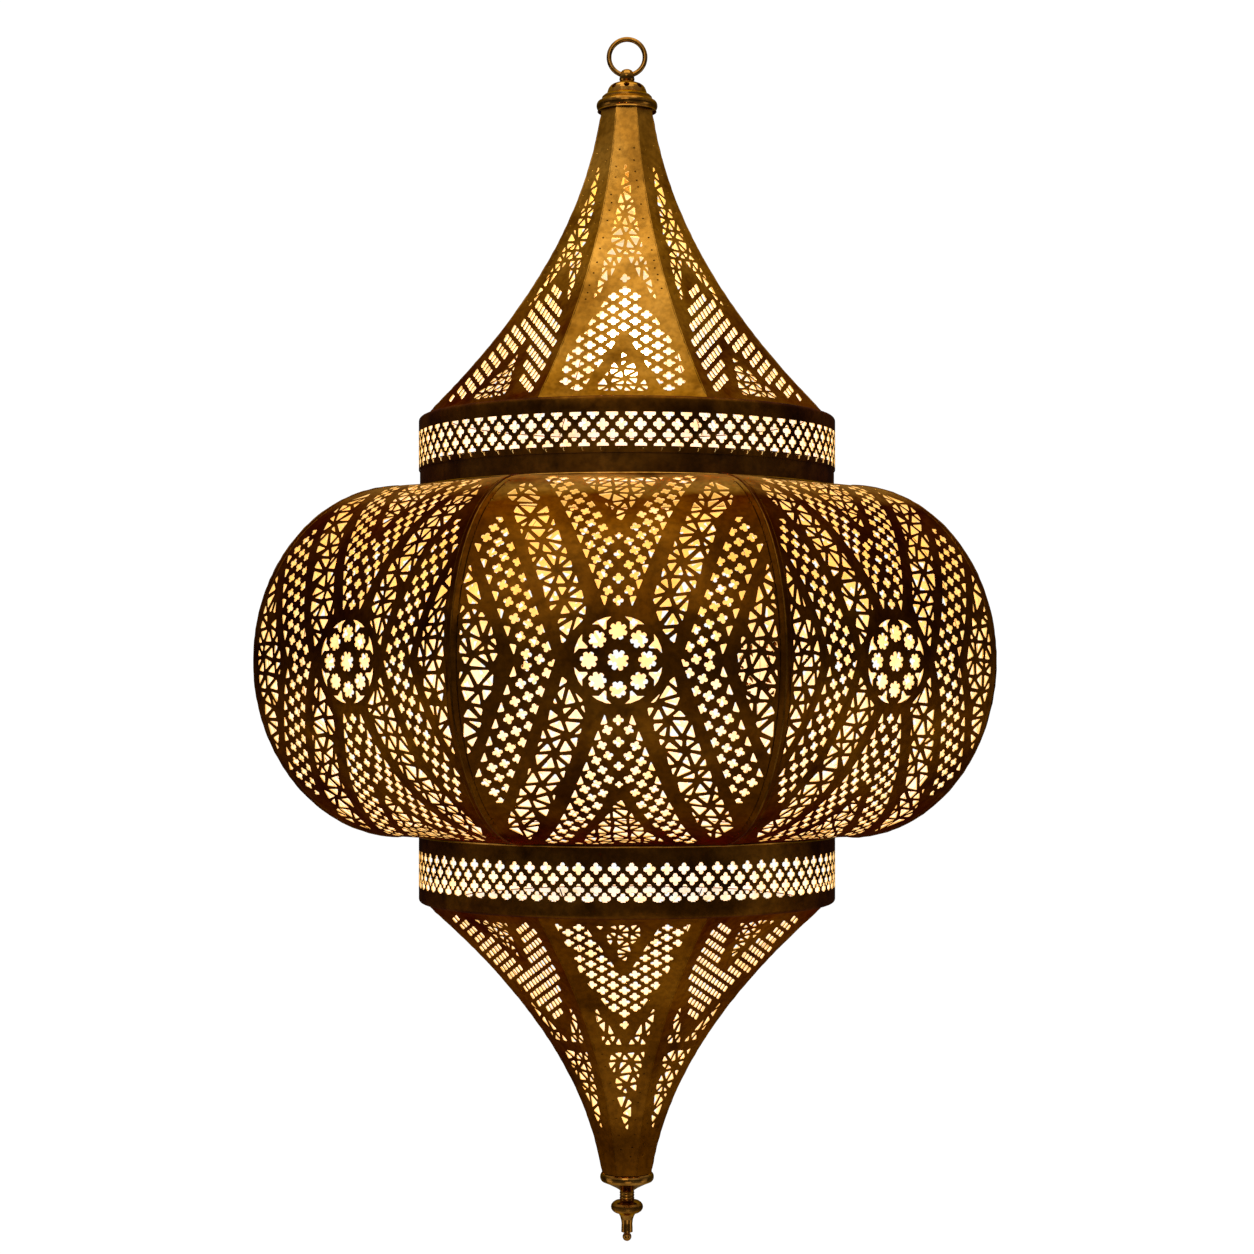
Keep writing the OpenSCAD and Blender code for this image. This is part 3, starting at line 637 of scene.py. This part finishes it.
def seam_bead(name, prof, s_min, s_max, corners, radius, seed):
    """Soft-soldered beads along the corners where the sides meet."""
    ring, step, sunk, pointed = 6, 4, 0.5, 0.25
    rows = int((s_max - s_min) / step)
    verts, faces = [], []
    for c in corners:
        d = azimuth_of(c) + STEP / 2
        rng = random.Random(seed + c)
        base = len(verts)
        for i in range(rows + 1):
            s = s_min + (s_max - s_min) * i / rows
            a, z = at(prof, s)
            na, nz = outward(prof, s, 0.5)
            r = a / math.cos(STEP / 2) - sunk
            size = radius * (pointed if i in (0, rows) else rng.uniform(0.8, 1.2))
            for k in range(ring):
                q = 2 * math.pi * k / ring
                side, out = size * math.cos(q), size * math.sin(q)
                rr = r + out * na
                verts.append(((rr * math.cos(d) - side * math.sin(d)) * MM,
                              (rr * math.sin(d) + side * math.cos(d)) * MM, (z + out * nz) * MM))
        for i in range(rows):
            for k in range(ring):
                a, b = base + i * ring + k, base + i * ring + (k + 1) % ring
                faces.append((a, b, b + ring, a + ring))
        faces.append(tuple(range(base + ring - 1, base - 1, -1)))
        faces.append(tuple(range(base + ring * rows, base + ring * (rows + 1))))
    mesh = bpy.data.meshes.new(name)
    mesh.from_pydata(verts, [], faces)
    mesh.polygons.foreach_set("use_smooth", [True] * len(faces))
    return mesh


def make_seams():
    """A bead on every corner. Beside the door they run only above and below it."""
    thin, thick, seed = 0.75, 0.85, 3
    reach, bulb_s = DOOR_REACH + 1.5, BULB[0][-2]
    fixed, beside_door = range(1, SIDES - 1), (0, SIDES - 1)
    runs = (("seams_spire", "spire_brass", SPIRE, 2, SPIRE[0][-1] - 1, range(SIDES), thin),
            ("seams_cone", "cone_brass", CONE, 1, CONE[0][-1] - 1, range(SIDES), thin),
            ("seams_bulb", "bulb_brass", BULB, -bulb_s, bulb_s, fixed, thick),
            ("seams_head", "bulb_brass", BULB, reach, bulb_s, beside_door, thick),
            ("seams_sill", "bulb_brass", BULB, -bulb_s, -reach, beside_door, thick))
    return [add_piece(name, seam_bead(name, *run, seed), "lantern", None, slot)
            for name, slot, *run in runs]


def add_piece(name, mesh, body, node, slot):
    """Puts a piece in the scene on its body. node is the CAD node that it replaces, if any."""
    o = bpy.data.objects.new(name, mesh)
    bpy.context.scene.collection.objects.link(o)
    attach(o, body)
    if node:
        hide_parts(node)
    return o


def make_panels(spire_mats, bulb_mats, cone_mats):
    """All the pierced panels, as pairs of a piece and its outer material."""
    flat_step, bulb_step, width, groove_in, dent_in, clear = 5, 4.5, 7, 4.2, 5.0, 2.0
    dent_seed, bulb_seed, bulb_wobble = 100, 50, 40
    # name, profile, pattern, its seed, the wobble's seed, where the dents are, material
    flanks = (("spire", SPIRE, spire_holes, 10, 0, (25, 165), spire_mats),
              ("cone", CONE, cone_holes, 30, 20, (15, 110), cone_mats))
    made = []
    for i in range(1, SIDES + 1):
        rng = random.Random(dent_seed + i)
        for label, prof, pattern, seed, wobble, dented, skin in flanks:
            s0, s1 = prof[0][0], prof[0][-1]
            name = f"pierced_{label}_{i}"
            mesh = sheet_mesh(name, panel_outline(prof, s0, s1, SEAM_GAP), pattern(i, seed + i),
                              grid_fill(prof, s0, s1, flat_step, width),
                              panel_place(prof, azimuth_of(i), wobble + i),
                              seam_dents(prof, *dented, dent_in, rng))
            piece = add_piece(name, mesh, "lantern", f"{label}_panel_{i}", f"{label}_brass")
            made.append((piece, skin))

    s0, s1 = BULB[0][0], BULB[0][-1]
    for i in range(1, SIDES):
        name = f"pierced_bulb_{i}"
        mesh = sheet_mesh(name, panel_outline(BULB, s0, s1, SEAM_GAP), bulb_holes(bulb_seed + i),
                          grid_fill(BULB, s0, s1, bulb_step, width),
                          panel_place(BULB, azimuth_of(i), bulb_wobble + i),
                          (), seam_groove(BULB, -150, 150, groove_in))
        made.append((add_piece(name, mesh, "lantern", f"bulb_panel_{i}", "bulb_brass"), bulb_mats))

    # the door side: the same panel cut across above and below the door
    holes = bulb_holes(bulb_seed)
    gap = DOOR_GAP / 2
    parts = (("door", -DOOR_REACH + gap, DOOR_REACH - gap, "door", "door_panel", DOOR_GAP),
             ("head", DOOR_REACH + gap, s1, "lantern", "door_head", SEAM_GAP),
             ("sill", s0, -DOOR_REACH - gap, "lantern", "door_sill", SEAM_GAP))
    for label, low, high, body, node, seam in parts:
        own = [h for h in holes if all(low + clear < p[1] < high - clear for p in h)]
        grooves = seam_groove(BULB, low + clear, high - clear, groove_in) if body == "door" else ()
        mesh = sheet_mesh(f"pierced_{label}", panel_outline(BULB, low, high, seam), own,
                          grid_fill(BULB, low, high, bulb_step, width),
                          panel_place(BULB, azimuth_of(0), bulb_wobble), (), grooves)
        made.append((add_piece(f"pierced_{label}", mesh, body, node, "bulb_brass"), bulb_mats))
    return made


def strip_outline(length, end, across, up):
    """A flat strip with points all round it, so that it can be rolled into a drum."""
    outline = [(length * i / across, 0) for i in range(across + 1)]
    outline += [(length, end * j / up) for j in range(1, up)]
    outline += [(length * (across - i) / across, end) for i in range(across + 1)]
    return outline + [(0, end * (up - j) / up) for j in range(1, up)]


def make_collars(mats):
    """The two drums, as pairs of a piece and its outer material."""
    across, up, seam, lip, rows_down, play = 120, 6, 2.2, 4, 9, 0.05
    length = 2 * math.pi * COLLAR_R
    # name, level of the flange, down or up, height, quatrefoils, depths of the rows, flat cut, seed
    specs = (("upper", COLLAR_TOP - play, 1, COLLAR_TOP - BULB_TOP - NECK_BAND_H, 75,
              (12.4, 19.9, 27.3, 34.3), 0.9, 5),
             ("lower", COLLAR_FOOT, -1, BULB_FOOT - COLLAR_FOOT - play, 80,
              (14.4, 20.2, 27.6, 35.0), 2.4, 6))
    made = []
    for label, z, down, strip, columns, depths, flat, seed in specs:
        prof = collar_table(strip)
        bend, end = prof[0][-2], prof[0][-1]
        holes = collar_holes(columns, [bend - COLLAR_ROUND + d for d in depths], flat, seed)
        shift = min(p[0] for h in holes for p in h)
        holes = [[(u - shift + seam, min(s, end - 1.0)) for u, s in h] for h in holes]
        holes = [h for h in holes if max(p[0] for p in h) < length - 1.5]
        levels = list(prof[0][1:-1]) + list(np.linspace(bend + lip, end - lip, rows_down))
        fill = [(length * (i + (0.5 if k % 2 else 0.02)) / across, s) for k, s in enumerate(levels)
                for i in range(across) if 0.6 < length * (i + 0.5 * (k % 2)) / across < length - 0.6]
        name = f"pierced_{label}_collar"
        outline = strip_outline(length, end, across, up)
        mesh = sheet_mesh(name, outline, holes, fill, collar_place(prof, z, down))
        made.append((add_piece(name, mesh, "lantern", f"{label}_collar", "collar_brass"), mats))
    return made


# --- Materials
class Tree:
    """A material's nodes, with short ways to add and link them. Pass a material in made to add to it."""

    def __init__(self, name, made=None):
        self.mat = made or bpy.data.materials.new(name)
        self.mat.use_nodes = True
        self.nt = self.mat.node_tree
        if made:
            self.coord = self.first("TEX_COORD")
            return
        self.nt.nodes.clear()
        self.out = self.nt.nodes.new("ShaderNodeOutputMaterial")
        self.coord = self.nt.nodes.new("ShaderNodeTexCoord")

    def first(self, kind):
        return next(n for n in self.nt.nodes if n.type == kind)

    def glow(self, colour, strength):
        """Paints light into the surface as an emission, standing in for the light that pale brass throws
        back close to a lamp.
        """
        surface = self.first("BSDF_PRINCIPLED")
        self.nt.links.new(colour, surface.inputs["Emission Color"])
        surface.inputs["Emission Strength"].default_value = strength
        return self.mat

    def span(self, source, low, high):
        """Maps low..high to 0..1, clamped."""
        return self.add("MapRange", [("Value", source)], From_Min=low, From_Max=high).outputs[0]

    def split(self, output):
        """X, Y and Z of one of the texture coordinates."""
        return self.add("SeparateXYZ", [("Vector", self.coord.outputs[output])]).outputs

    def add(self, kind, links=(), **values):
        n = self.nt.nodes.new(f"ShaderNode{kind}")
        for key, value in values.items():
            if hasattr(n, key):
                setattr(n, key, value)
            else:
                n.inputs[key.replace("_", " ")].default_value = value
        for target, source in links:
            self.nt.links.new(source, n.inputs[target])
        return n

    def noise(self, scale, detail=6.0, rough=0.6, distortion=0.0):
        return self.add("TexNoise", [("Vector", self.coord.outputs["Object"])], Scale=scale,
                        Detail=detail, Roughness=rough, Distortion=distortion).outputs["Fac"]

    def ramp(self, source, stops):
        n = self.add("ValToRGB", [("Fac", source)])
        e = n.color_ramp.elements
        while len(e) < len(stops):
            e.new(0.5)
        for item, (pos, colour) in zip(e, stops):
            item.position = pos
            item.color = (*colour, 1.0)
        return n.outputs["Color"]

    def mix(self, factor, a, b, blend="MIX"):
        return self.add("Mix", [(0, factor), (6, a), (7, b)], data_type="RGBA",
                        blend_type=blend).outputs[2]

    def shader(self, colour, roughness, metallic, height=None, bump=0.2, distance=0.0004, **extra):
        links = [("Base Color", colour), ("Roughness", roughness)]
        if height is not None:
            bumps = self.add("Bump", [("Height", height)], Strength=bump, Distance=distance)
            links.append(("Normal", bumps.outputs["Normal"]))
        b = self.add("BsdfPrincipled", links, Metallic=metallic, **extra)
        self.nt.links.new(b.outputs[0], self.out.inputs[0])
        return self.mat


def grey(v):
    return (v, v, v)


def darker(colour, share):
    return tuple(c * share for c in colour)


def tarnished(name, light, mid, dark, rough=(0.34, 0.56), metallic=0.9, scale=9.0, bump=0.35, painted_top_light=None,
              painted_shade_heights=None, glance=(0.42, 0.2, 0.045, 1.0)):
    """Brass tarnished in clouds and blotches, with painted light and shade where asked.

    painted_top_light is the colour of painted light from above on what faces straight up, which also brings
    painted shade on the slopes that face upwards; painted_shade_heights is the two heights between which
    painted shade darkens the metal going down; and glance is the colour that it reflects at a grazing angle.
    """
    t = Tree(name)
    base = t.ramp(t.noise(scale, 7, 0.62, 0.3), [(0.3, dark), (0.5, mid), (0.72, light)])
    full = t.ramp(t.noise(30, 1, 0.5), [(0.0, grey(1.0)), (1.0, grey(0.9))])
    if painted_top_light:
        # painted shade darkens the slopes that face upwards, and painted light from above lightens what
        # faces straight up
        slope = t.split("Normal")["Z"]
        shade = t.ramp(t.span(slope, 0.1, 0.5), [(0.0, grey(1.0)), (1.0, (0.58, 0.53, 0.45))])
        base = t.mix(full, base, shade, "MULTIPLY")
        painted_top_colour = t.ramp(t.noise(scale * 1.4, 5, 0.6), [(0.35, darker(painted_top_light, 0.55)), (0.6, painted_top_light)])
        base = t.mix(t.span(slope, 0.78, 0.97), base, painted_top_colour)
    blotch = t.ramp(t.noise(scale * 2.6, 4, 0.55), [(0.52, grey(0.0)), (0.68, grey(0.75))])
    dark_flat = t.ramp(t.noise(scale * 7, 3, 0.5), [(0.0, darker(dark, 0.55)), (1.0, darker(dark, 1.1))])
    colour = t.mix(blotch, base, dark_flat)
    speck = t.ramp(t.noise(260, 2, 0.5), [(0.35, grey(0.72)), (0.6, grey(1.0))])
    colour = t.mix(full, colour, speck, "MULTIPLY")
    if painted_shade_heights:
        # painted shade: the metal darkens going down between the two heights
        painted_shade_fade = t.span(t.split("Object")["Z"], *painted_shade_heights)
        painted_shade_factor = t.ramp(painted_shade_fade, [(0.0, (0.42, 0.40, 0.38)), (1.0, grey(1.0))])
        colour = t.mix(full, colour, painted_shade_factor, "MULTIPLY")
    roughness = t.ramp(t.noise(scale * 4, 5, 0.6), [(0.3, grey(rough[0])), (0.7, grey(rough[1]))])
    return t.shader(colour, roughness, metallic, t.noise(70, 5, 0.6), bump, 0.0006, Specular_Tint=glance)


def inner_brass_painted_glow(name):
    """The inside of the sheet: pale brass with the lamp's light painted on as a glow, in bands by height
    from yellow to nearly white, orange where it stands for shade.
    """
    bottom, top, waver = -0.85, -0.05, 0.12
    t = Tree(name)
    colour = t.ramp(t.noise(14, 6, 0.6), [(0.3, (0.5, 0.27, 0.06)), (0.7, (0.78, 0.5, 0.16))])
    roughness = t.ramp(t.noise(40, 4, 0.6), [(0.3, grey(0.5)), (0.7, grey(0.75))])
    t.shader(colour, roughness, 0.3, t.noise(90, 4, 0.6), 0.3)
    wave, height = t.noise(9, 3, 0.5), t.span(t.split("Object")["Z"], bottom, top)
    lift = t.add("Math", [(0, wave), (2, height)], operation="MULTIPLY_ADD")
    lift.inputs[1].default_value = waver
    # painted light and shade by height: nearly white bands where the lamp's light falls, orange bands where
    # the sheet is in shade
    painted_light_bands = t.ramp(lift.outputs[0], [
        (0.0, (0.95, 0.60, 0.18)), (0.2, (1.0, 0.90, 0.70)), (0.34, (1.0, 0.94, 0.84)),
        (0.52, (1.0, 0.84, 0.62)), (0.61, (0.93, 0.56, 0.18)), (0.66, (0.86, 0.46, 0.10)),
        (0.7, (0.88, 0.52, 0.15)), (0.735, (1.0, 0.93, 0.82)), (0.88, (1.0, 0.93, 0.80)),
        (0.95, (0.98, 0.70, 0.22)), (1.0, (0.90, 0.56, 0.12))])
    mottle = t.ramp(t.noise(55, 5, 0.65), [(0.36, (0.88, 0.76, 0.54)), (0.54, grey(1.0))])
    full = t.ramp(t.noise(30, 1, 0.5), [(0.0, grey(1.0)), (1.0, grey(0.98))])
    return t.glow(t.mix(full, painted_light_bands, mottle, "MULTIPLY"), 0.97)


def lit(mat, colour, strength):
    """Paints the warm light that parts close to the lamp throw back onto them, as a glow."""
    t = Tree(mat.name, mat)
    return t.glow(t.ramp(t.noise(40, 3, 0.5), [(0.3, darker(colour, 0.8)), (0.7, colour)]), strength)


def lit_inside(mat, radius):
    """The same painted glow, but only on the inner face of a band: nearer to the axis than radius, in
    metres.
    """
    blur = 0.0001
    t = Tree(mat.name, mat)
    x, y, _ = t.split("Object")
    across = t.add("Math", [(0, x), (1, x)], operation="MULTIPLY").outputs[0]
    squared = t.add("Math", [(0, y), (1, y), (2, across)], operation="MULTIPLY_ADD").outputs[0]
    outside = t.span(squared, (radius - blur) ** 2, (radius + blur) ** 2)
    warm = t.ramp(t.noise(40, 3, 0.5), [(0.3, (0.84, 0.44, 0.07)), (0.7, (1.0, 0.62, 0.16))])
    dark = t.ramp(t.noise(40, 1, 0.5), [(0.0, grey(0.0)), (1.0, grey(0.001))])
    return t.glow(t.mix(outside, warm, dark), 0.85)


def cut_brass_painted_glow(name):
    """The edges of the holes, with the lamp's light painted on them as a warm glow."""
    t = Tree(name)
    colour = t.ramp(t.noise(120, 3, 0.6), [(0.3, (0.35, 0.19, 0.05)), (0.7, (0.6, 0.36, 0.11))])
    roughness = t.ramp(t.noise(90, 3, 0.6), [(0.3, grey(0.35)), (0.7, grey(0.55))])
    t.shader(colour, roughness, 0.6, t.noise(220, 3, 0.6), 0.3)
    # painted light: the cut edges glow as if the lamp lit them
    return t.glow(t.ramp(t.noise(60, 2, 0.5), [(0.35, (0.9, 0.52, 0.12)), (0.65, (1.0, 0.72, 0.28))]), 0.8)


def two_tone(name, a, b, rough, metallic, scale=60, bump=0.15, **extra):
    """A plain surface that wavers between two colours."""
    t = Tree(name)
    colour = t.ramp(t.noise(scale, 5, 0.6), [(0.35, a), (0.65, b)])
    roughness = t.ramp(t.noise(scale * 1.7, 4, 0.6), [(0.3, grey(rough[0])), (0.7, grey(rough[1]))])
    return t.shader(colour, roughness, metallic, t.noise(scale * 3, 4, 0.6), bump, **extra)


def glowing(name, colour_a, colour_b, strength):
    """A surface that only gives light."""
    t = Tree(name)
    colour = t.ramp(t.noise(25, 2, 0.5), [(0.35, colour_a), (0.65, colour_b)])
    e = t.add("Emission", [("Color", colour)], Strength=strength)
    t.nt.links.new(e.outputs[0], t.out.inputs[0])
    return t.mat


def set_materials(o, *mats):
    if len(o.data.materials):
        o.data.materials.clear()
    for m in mats:
        o.data.materials.append(m)


# the spire's brass gets lighter colours than the bulb's, partly painted light of the lamp inside it, and
# painted shade darkens it going down
spire_skin = tarnished("spire_patina_and_painted_light", (0.66, 0.33, 0.055), (0.43, 0.19, 0.022), (0.16, 0.056, 0.004),
                       (0.3, 0.48), 1.0, painted_shade_heights=(-0.25, -0.12))
# the bulb's brass gets painted light from above on what faces straight up and painted shade on its upward
# slopes
bulb_skin = tarnished("bulb_patina_and_painted_light", (0.26, 0.098, 0.007), (0.125, 0.04, 0.0016), (0.04, 0.0105, 0.0005),
                      (0.34, 0.56), 1.0, painted_top_light=(0.62, 0.34, 0.075))
cone_skin = tarnished("cone_patina", (0.34, 0.13, 0.010), (0.18, 0.06, 0.0028), (0.062, 0.018, 0.0007),
                      (0.34, 0.56), 1.0)
collar_skin = tarnished("collar_patina", (0.24, 0.095, 0.01), (0.125, 0.043, 0.003), (0.04, 0.012, 0.0007),
                        scale=14.0)
inside = inner_brass_painted_glow("inner_brass_painted_glow")
cut = cut_brass_painted_glow("cut_brass_painted_glow")
turned = tarnished("turned_brass", (0.56, 0.28, 0.06), (0.34, 0.15, 0.022), (0.09, 0.03, 0.002),
                   (0.12, 0.24), 1.0, 26.0, 0.07, glance=(1.0, 0.72, 0.36, 1.0))
dark_metal = tarnished("dark_brass", (0.22, 0.088, 0.01), (0.12, 0.042, 0.003), (0.038, 0.012, 0.0007),
                       scale=14.0)

glass = two_tone("lamp_glass", (1.0, 0.97, 0.9), (1.0, 0.99, 0.95), (0.02, 0.05), 0.0, 12, 0.02,
                 Transmission_Weight=1.0, IOR=1.45)

# material slot of the record: material
MATERIALS = {
    "turned_brass": turned, "dark_brass": dark_metal, "collar_brass": collar_skin, "bulb_brass": bulb_skin,
    "spire_brass": spire_skin, "cone_brass": cone_skin,
    "plated_steel": two_tone("plated_steel", (0.5, 0.5, 0.5), (0.66, 0.66, 0.65), (0.25, 0.4), 1.0),
    "bush_plastic": two_tone("bush_plastic", (0.03, 0.02, 0.012), (0.06, 0.04, 0.025), (0.4, 0.55), 0.0),
    "holder_plastic": two_tone("holder_plastic", (0.06, 0.035, 0.018), (0.1, 0.06, 0.03), (0.3, 0.45), 0.0),
    "terminal_plastic": two_tone("terminal_plastic", (0.7, 0.7, 0.64), (0.82, 0.82, 0.78), (0.4, 0.5), 0.0),
    "lead_cover": two_tone("lead_cover", (0.5, 0.34, 0.13), (0.66, 0.47, 0.2), (0.75, 0.9), 0.0, 400),
    "earth_green": two_tone("earth_green", (0.05, 0.3, 0.09), (0.1, 0.42, 0.14), (0.35, 0.5), 0.3),
    "lamp_glass": lit(glass, (1.0, 0.85, 0.6), 0.5),
    "filament": glowing("filament_glow", (1.0, 0.84, 0.6), (1.0, 0.9, 0.7), 40.0),
}

# Parts so close to the lamp that its light is painted on them as a glow, and the colour of that painted
# light
LIT = {"stem_tube": (1.0, 0.72, 0.26), "stem_nuts": (1.0, 0.72, 0.26), "holder_cap": (1.0, 0.8, 0.4),
       "holder_body": (1.0, 0.86, 0.55), "lamp_yoke": (0.9, 0.6, 0.2), "lamp_screw_cap": (1.0, 0.86, 0.55)}
LIT_STRENGTH = 0.9
NECK_BAND_MIDDLE = (COLLAR_R - 1.25) * MM  # between the band's inner and outer face

SEAM_MATERIALS = {"seams_spire": spire_skin, "seams_cone": cone_skin}
for piece in make_seams():
    set_materials(piece, SEAM_MATERIALS.get(piece.name, dark_metal))

for piece, skin in make_panels(spire_skin, bulb_skin, cone_skin) + make_collars(collar_skin):
    set_materials(piece, skin, inside, cut)

slot_of = {p["node"]: p["material_slot"] for p in frame["record"]["subparts"]}
for name, node in nodes.items():
    base = MATERIALS[slot_of[name]]
    if name in LIT:
        base = lit(base.copy(), LIT[name], LIT_STRENGTH)
        base.name = f"{name}_lit"
    # the door stop inside the lantern takes the inside's painted glow of lamp light
    elif name == "door_stop":
        base = inside
    # the neck band's inner face gets a painted glow of the lamp's light
    elif name == "upper_neck_band":
        base = lit_inside(base.copy(), NECK_BAND_MIDDLE)
        base.name = f"{name}_lit"
    set_materials(node, base)
    node.data.polygons.foreach_set("use_smooth", [True] * len(node.data.polygons))
    node.data.set_sharp_from_angle(angle=math.radians(30))

# --- Studio: floor, world, lights, camera
FLOOR_Z, FLOOR_R = -3.4, 3.2


def make_floor():
    """A pale floor far enough down to stay out of the picture and below a camera that looks up."""
    place = (0, 0, FLOOR_Z)
    bpy.ops.mesh.primitive_circle_add(vertices=128, radius=FLOOR_R, fill_type="NGON", location=place)
    floor = bpy.context.object
    floor.name = "studio_floor"
    t = Tree("pale_floor")
    colour = t.ramp(t.noise(2.0, 3, 0.5), [(0.3, (0.86, 0.86, 0.86)), (0.7, (0.9, 0.9, 0.9))])
    roughness = t.ramp(t.noise(4.0, 2, 0.5), [(0.0, grey(0.85)), (1.0, grey(0.95))])
    set_materials(floor, t.shader(colour, roughness, 0.0))
    return floor


floor = make_floor()

WARM_WHITE, SIDE_WHITE = (1, 0.93, 0.84), (1, 0.94, 0.86)
# name, place, what it points at, size, watts and colour
SOFTBOXES = (
    ("top_softbox", (0, -0.4, 2.2), (0, 0, EQUATOR * MM), 2.6, 42, (1, 1, 1)),
    ("key_softbox", (-0.3, -2.2, 0.95), (0, 0, -0.2), 1.1, 7.5, WARM_WHITE),
    ("low_softbox", (0.25, -2.0, -1.75), (0, 0, -0.75), 0.9, 2.5, WARM_WHITE),
    ("left_softbox", (-2.4, -0.3, -1.4), (0, 0, -0.7), 1.2, 4.5, SIDE_WHITE),
    ("right_softbox", (2.4, -0.3, -1.4), (0, 0, -0.7), 1.2, 4.5, SIDE_WHITE),
)
LAMP_Z, LAMP_R, LAMP_WATTS, LAMP_COLOUR = -0.231, 0.034, 2.2, (1.0, 0.66, 0.34)


def area_light(name, location, target, size, watts, colour):
    data = bpy.data.lights.new(name, "AREA")
    data.energy, data.size, data.color = watts, size, colour
    o = bpy.data.objects.new(name, data)
    o.location = location
    o.rotation_euler = (Vector(target) - Vector(location)).to_track_quat("-Z", "Y").to_euler()
    bpy.context.scene.collection.objects.link(o)


def lamp_light():
    """The light of the lamp itself, which the camera doesn't see as a ball."""
    data = bpy.data.lights.new("lamp_light", "POINT")
    data.energy, data.shadow_soft_size, data.color = LAMP_WATTS, LAMP_R, LAMP_COLOUR
    o = bpy.data.objects.new("lamp_light", data)
    o.location = (0, 0, LAMP_Z)
    o.visible_camera = False
    bpy.context.scene.collection.objects.link(o)


def make_world():
    """A white backdrop for the camera. The metal sees a dimmer sky that is darkest at the horizon."""
    backdrop, sky_colour = 1.05, (1.0, 0.94, 0.85, 1)
    levels = [(0.0, 0.30), (0.36, 0.10), (0.5, 0.06), (0.62, 0.14), (0.8, 0.48), (1.0, 0.7)]
    world = bpy.data.worlds.new("studio")
    bpy.context.scene.world = world
    world.use_nodes = True
    tree = world.node_tree
    tree.nodes.clear()

    def add(kind, links=(), **values):
        n = tree.nodes.new(f"ShaderNode{kind}")
        for key, value in values.items():
            n.inputs[key.replace("_", " ")].default_value = value
        for target, source in links:
            tree.links.new(source, n.inputs[target])
        return n

    seen = add("Background", Color=(1, 1, 1, 1), Strength=backdrop)
    split = add("SeparateXYZ", [(0, add("TexCoord").outputs["Generated"])])
    height = add("MapRange", [("Value", split.outputs["Z"])], From_Min=-1.0)
    ramp = add("ValToRGB", [("Fac", height.outputs[0])])
    while len(ramp.color_ramp.elements) < len(levels):
        ramp.color_ramp.elements.new(0.5)
    for item, (pos, level) in zip(ramp.color_ramp.elements, levels):
        item.position, item.color = pos, (*grey(level), 1)
    lit_sky = add("Background", [("Strength", ramp.outputs["Color"])], Color=sky_colour)
    camera_ray = add("LightPath").outputs["Is Camera Ray"]
    choose = add("MixShader", [(0, camera_ray), (1, lit_sky.outputs[0]), (2, seen.outputs[0])])
    add("OutputWorld", [(0, choose.outputs[0])])


for softbox in SOFTBOXES:
    area_light(*softbox)
lamp_light()
make_world()

# The camera stands level, a little below the middle of the lantern, and looks slightly from its right.
# At the lantern's axis the picture is VIEW_WIDE across, and its middle lies VIEW_RISE above the lens.
CAM_DIST, CAM_Z, CAM_AZ = 1.839, -0.4856, math.radians(1.25)
VIEW_WIDE, VIEW_RISE, SENSOR = 0.9405, 0.0468, 36.0


def make_camera():
    data = bpy.data.cameras.new("camera")
    data.sensor_width = SENSOR
    data.lens = SENSOR * CAM_DIST / VIEW_WIDE
    data.shift_y = VIEW_RISE / VIEW_WIDE
    o = bpy.data.objects.new("camera", data)
    bpy.context.scene.collection.objects.link(o)
    o.location = (CAM_DIST * math.sin(CAM_AZ), -CAM_DIST * math.cos(CAM_AZ), CAM_Z)
    o.rotation_euler = (math.pi / 2, 0, CAM_AZ)
    bpy.context.scene.camera = o


make_camera()
bpy.context.scene.view_settings.view_transform = "Standard"
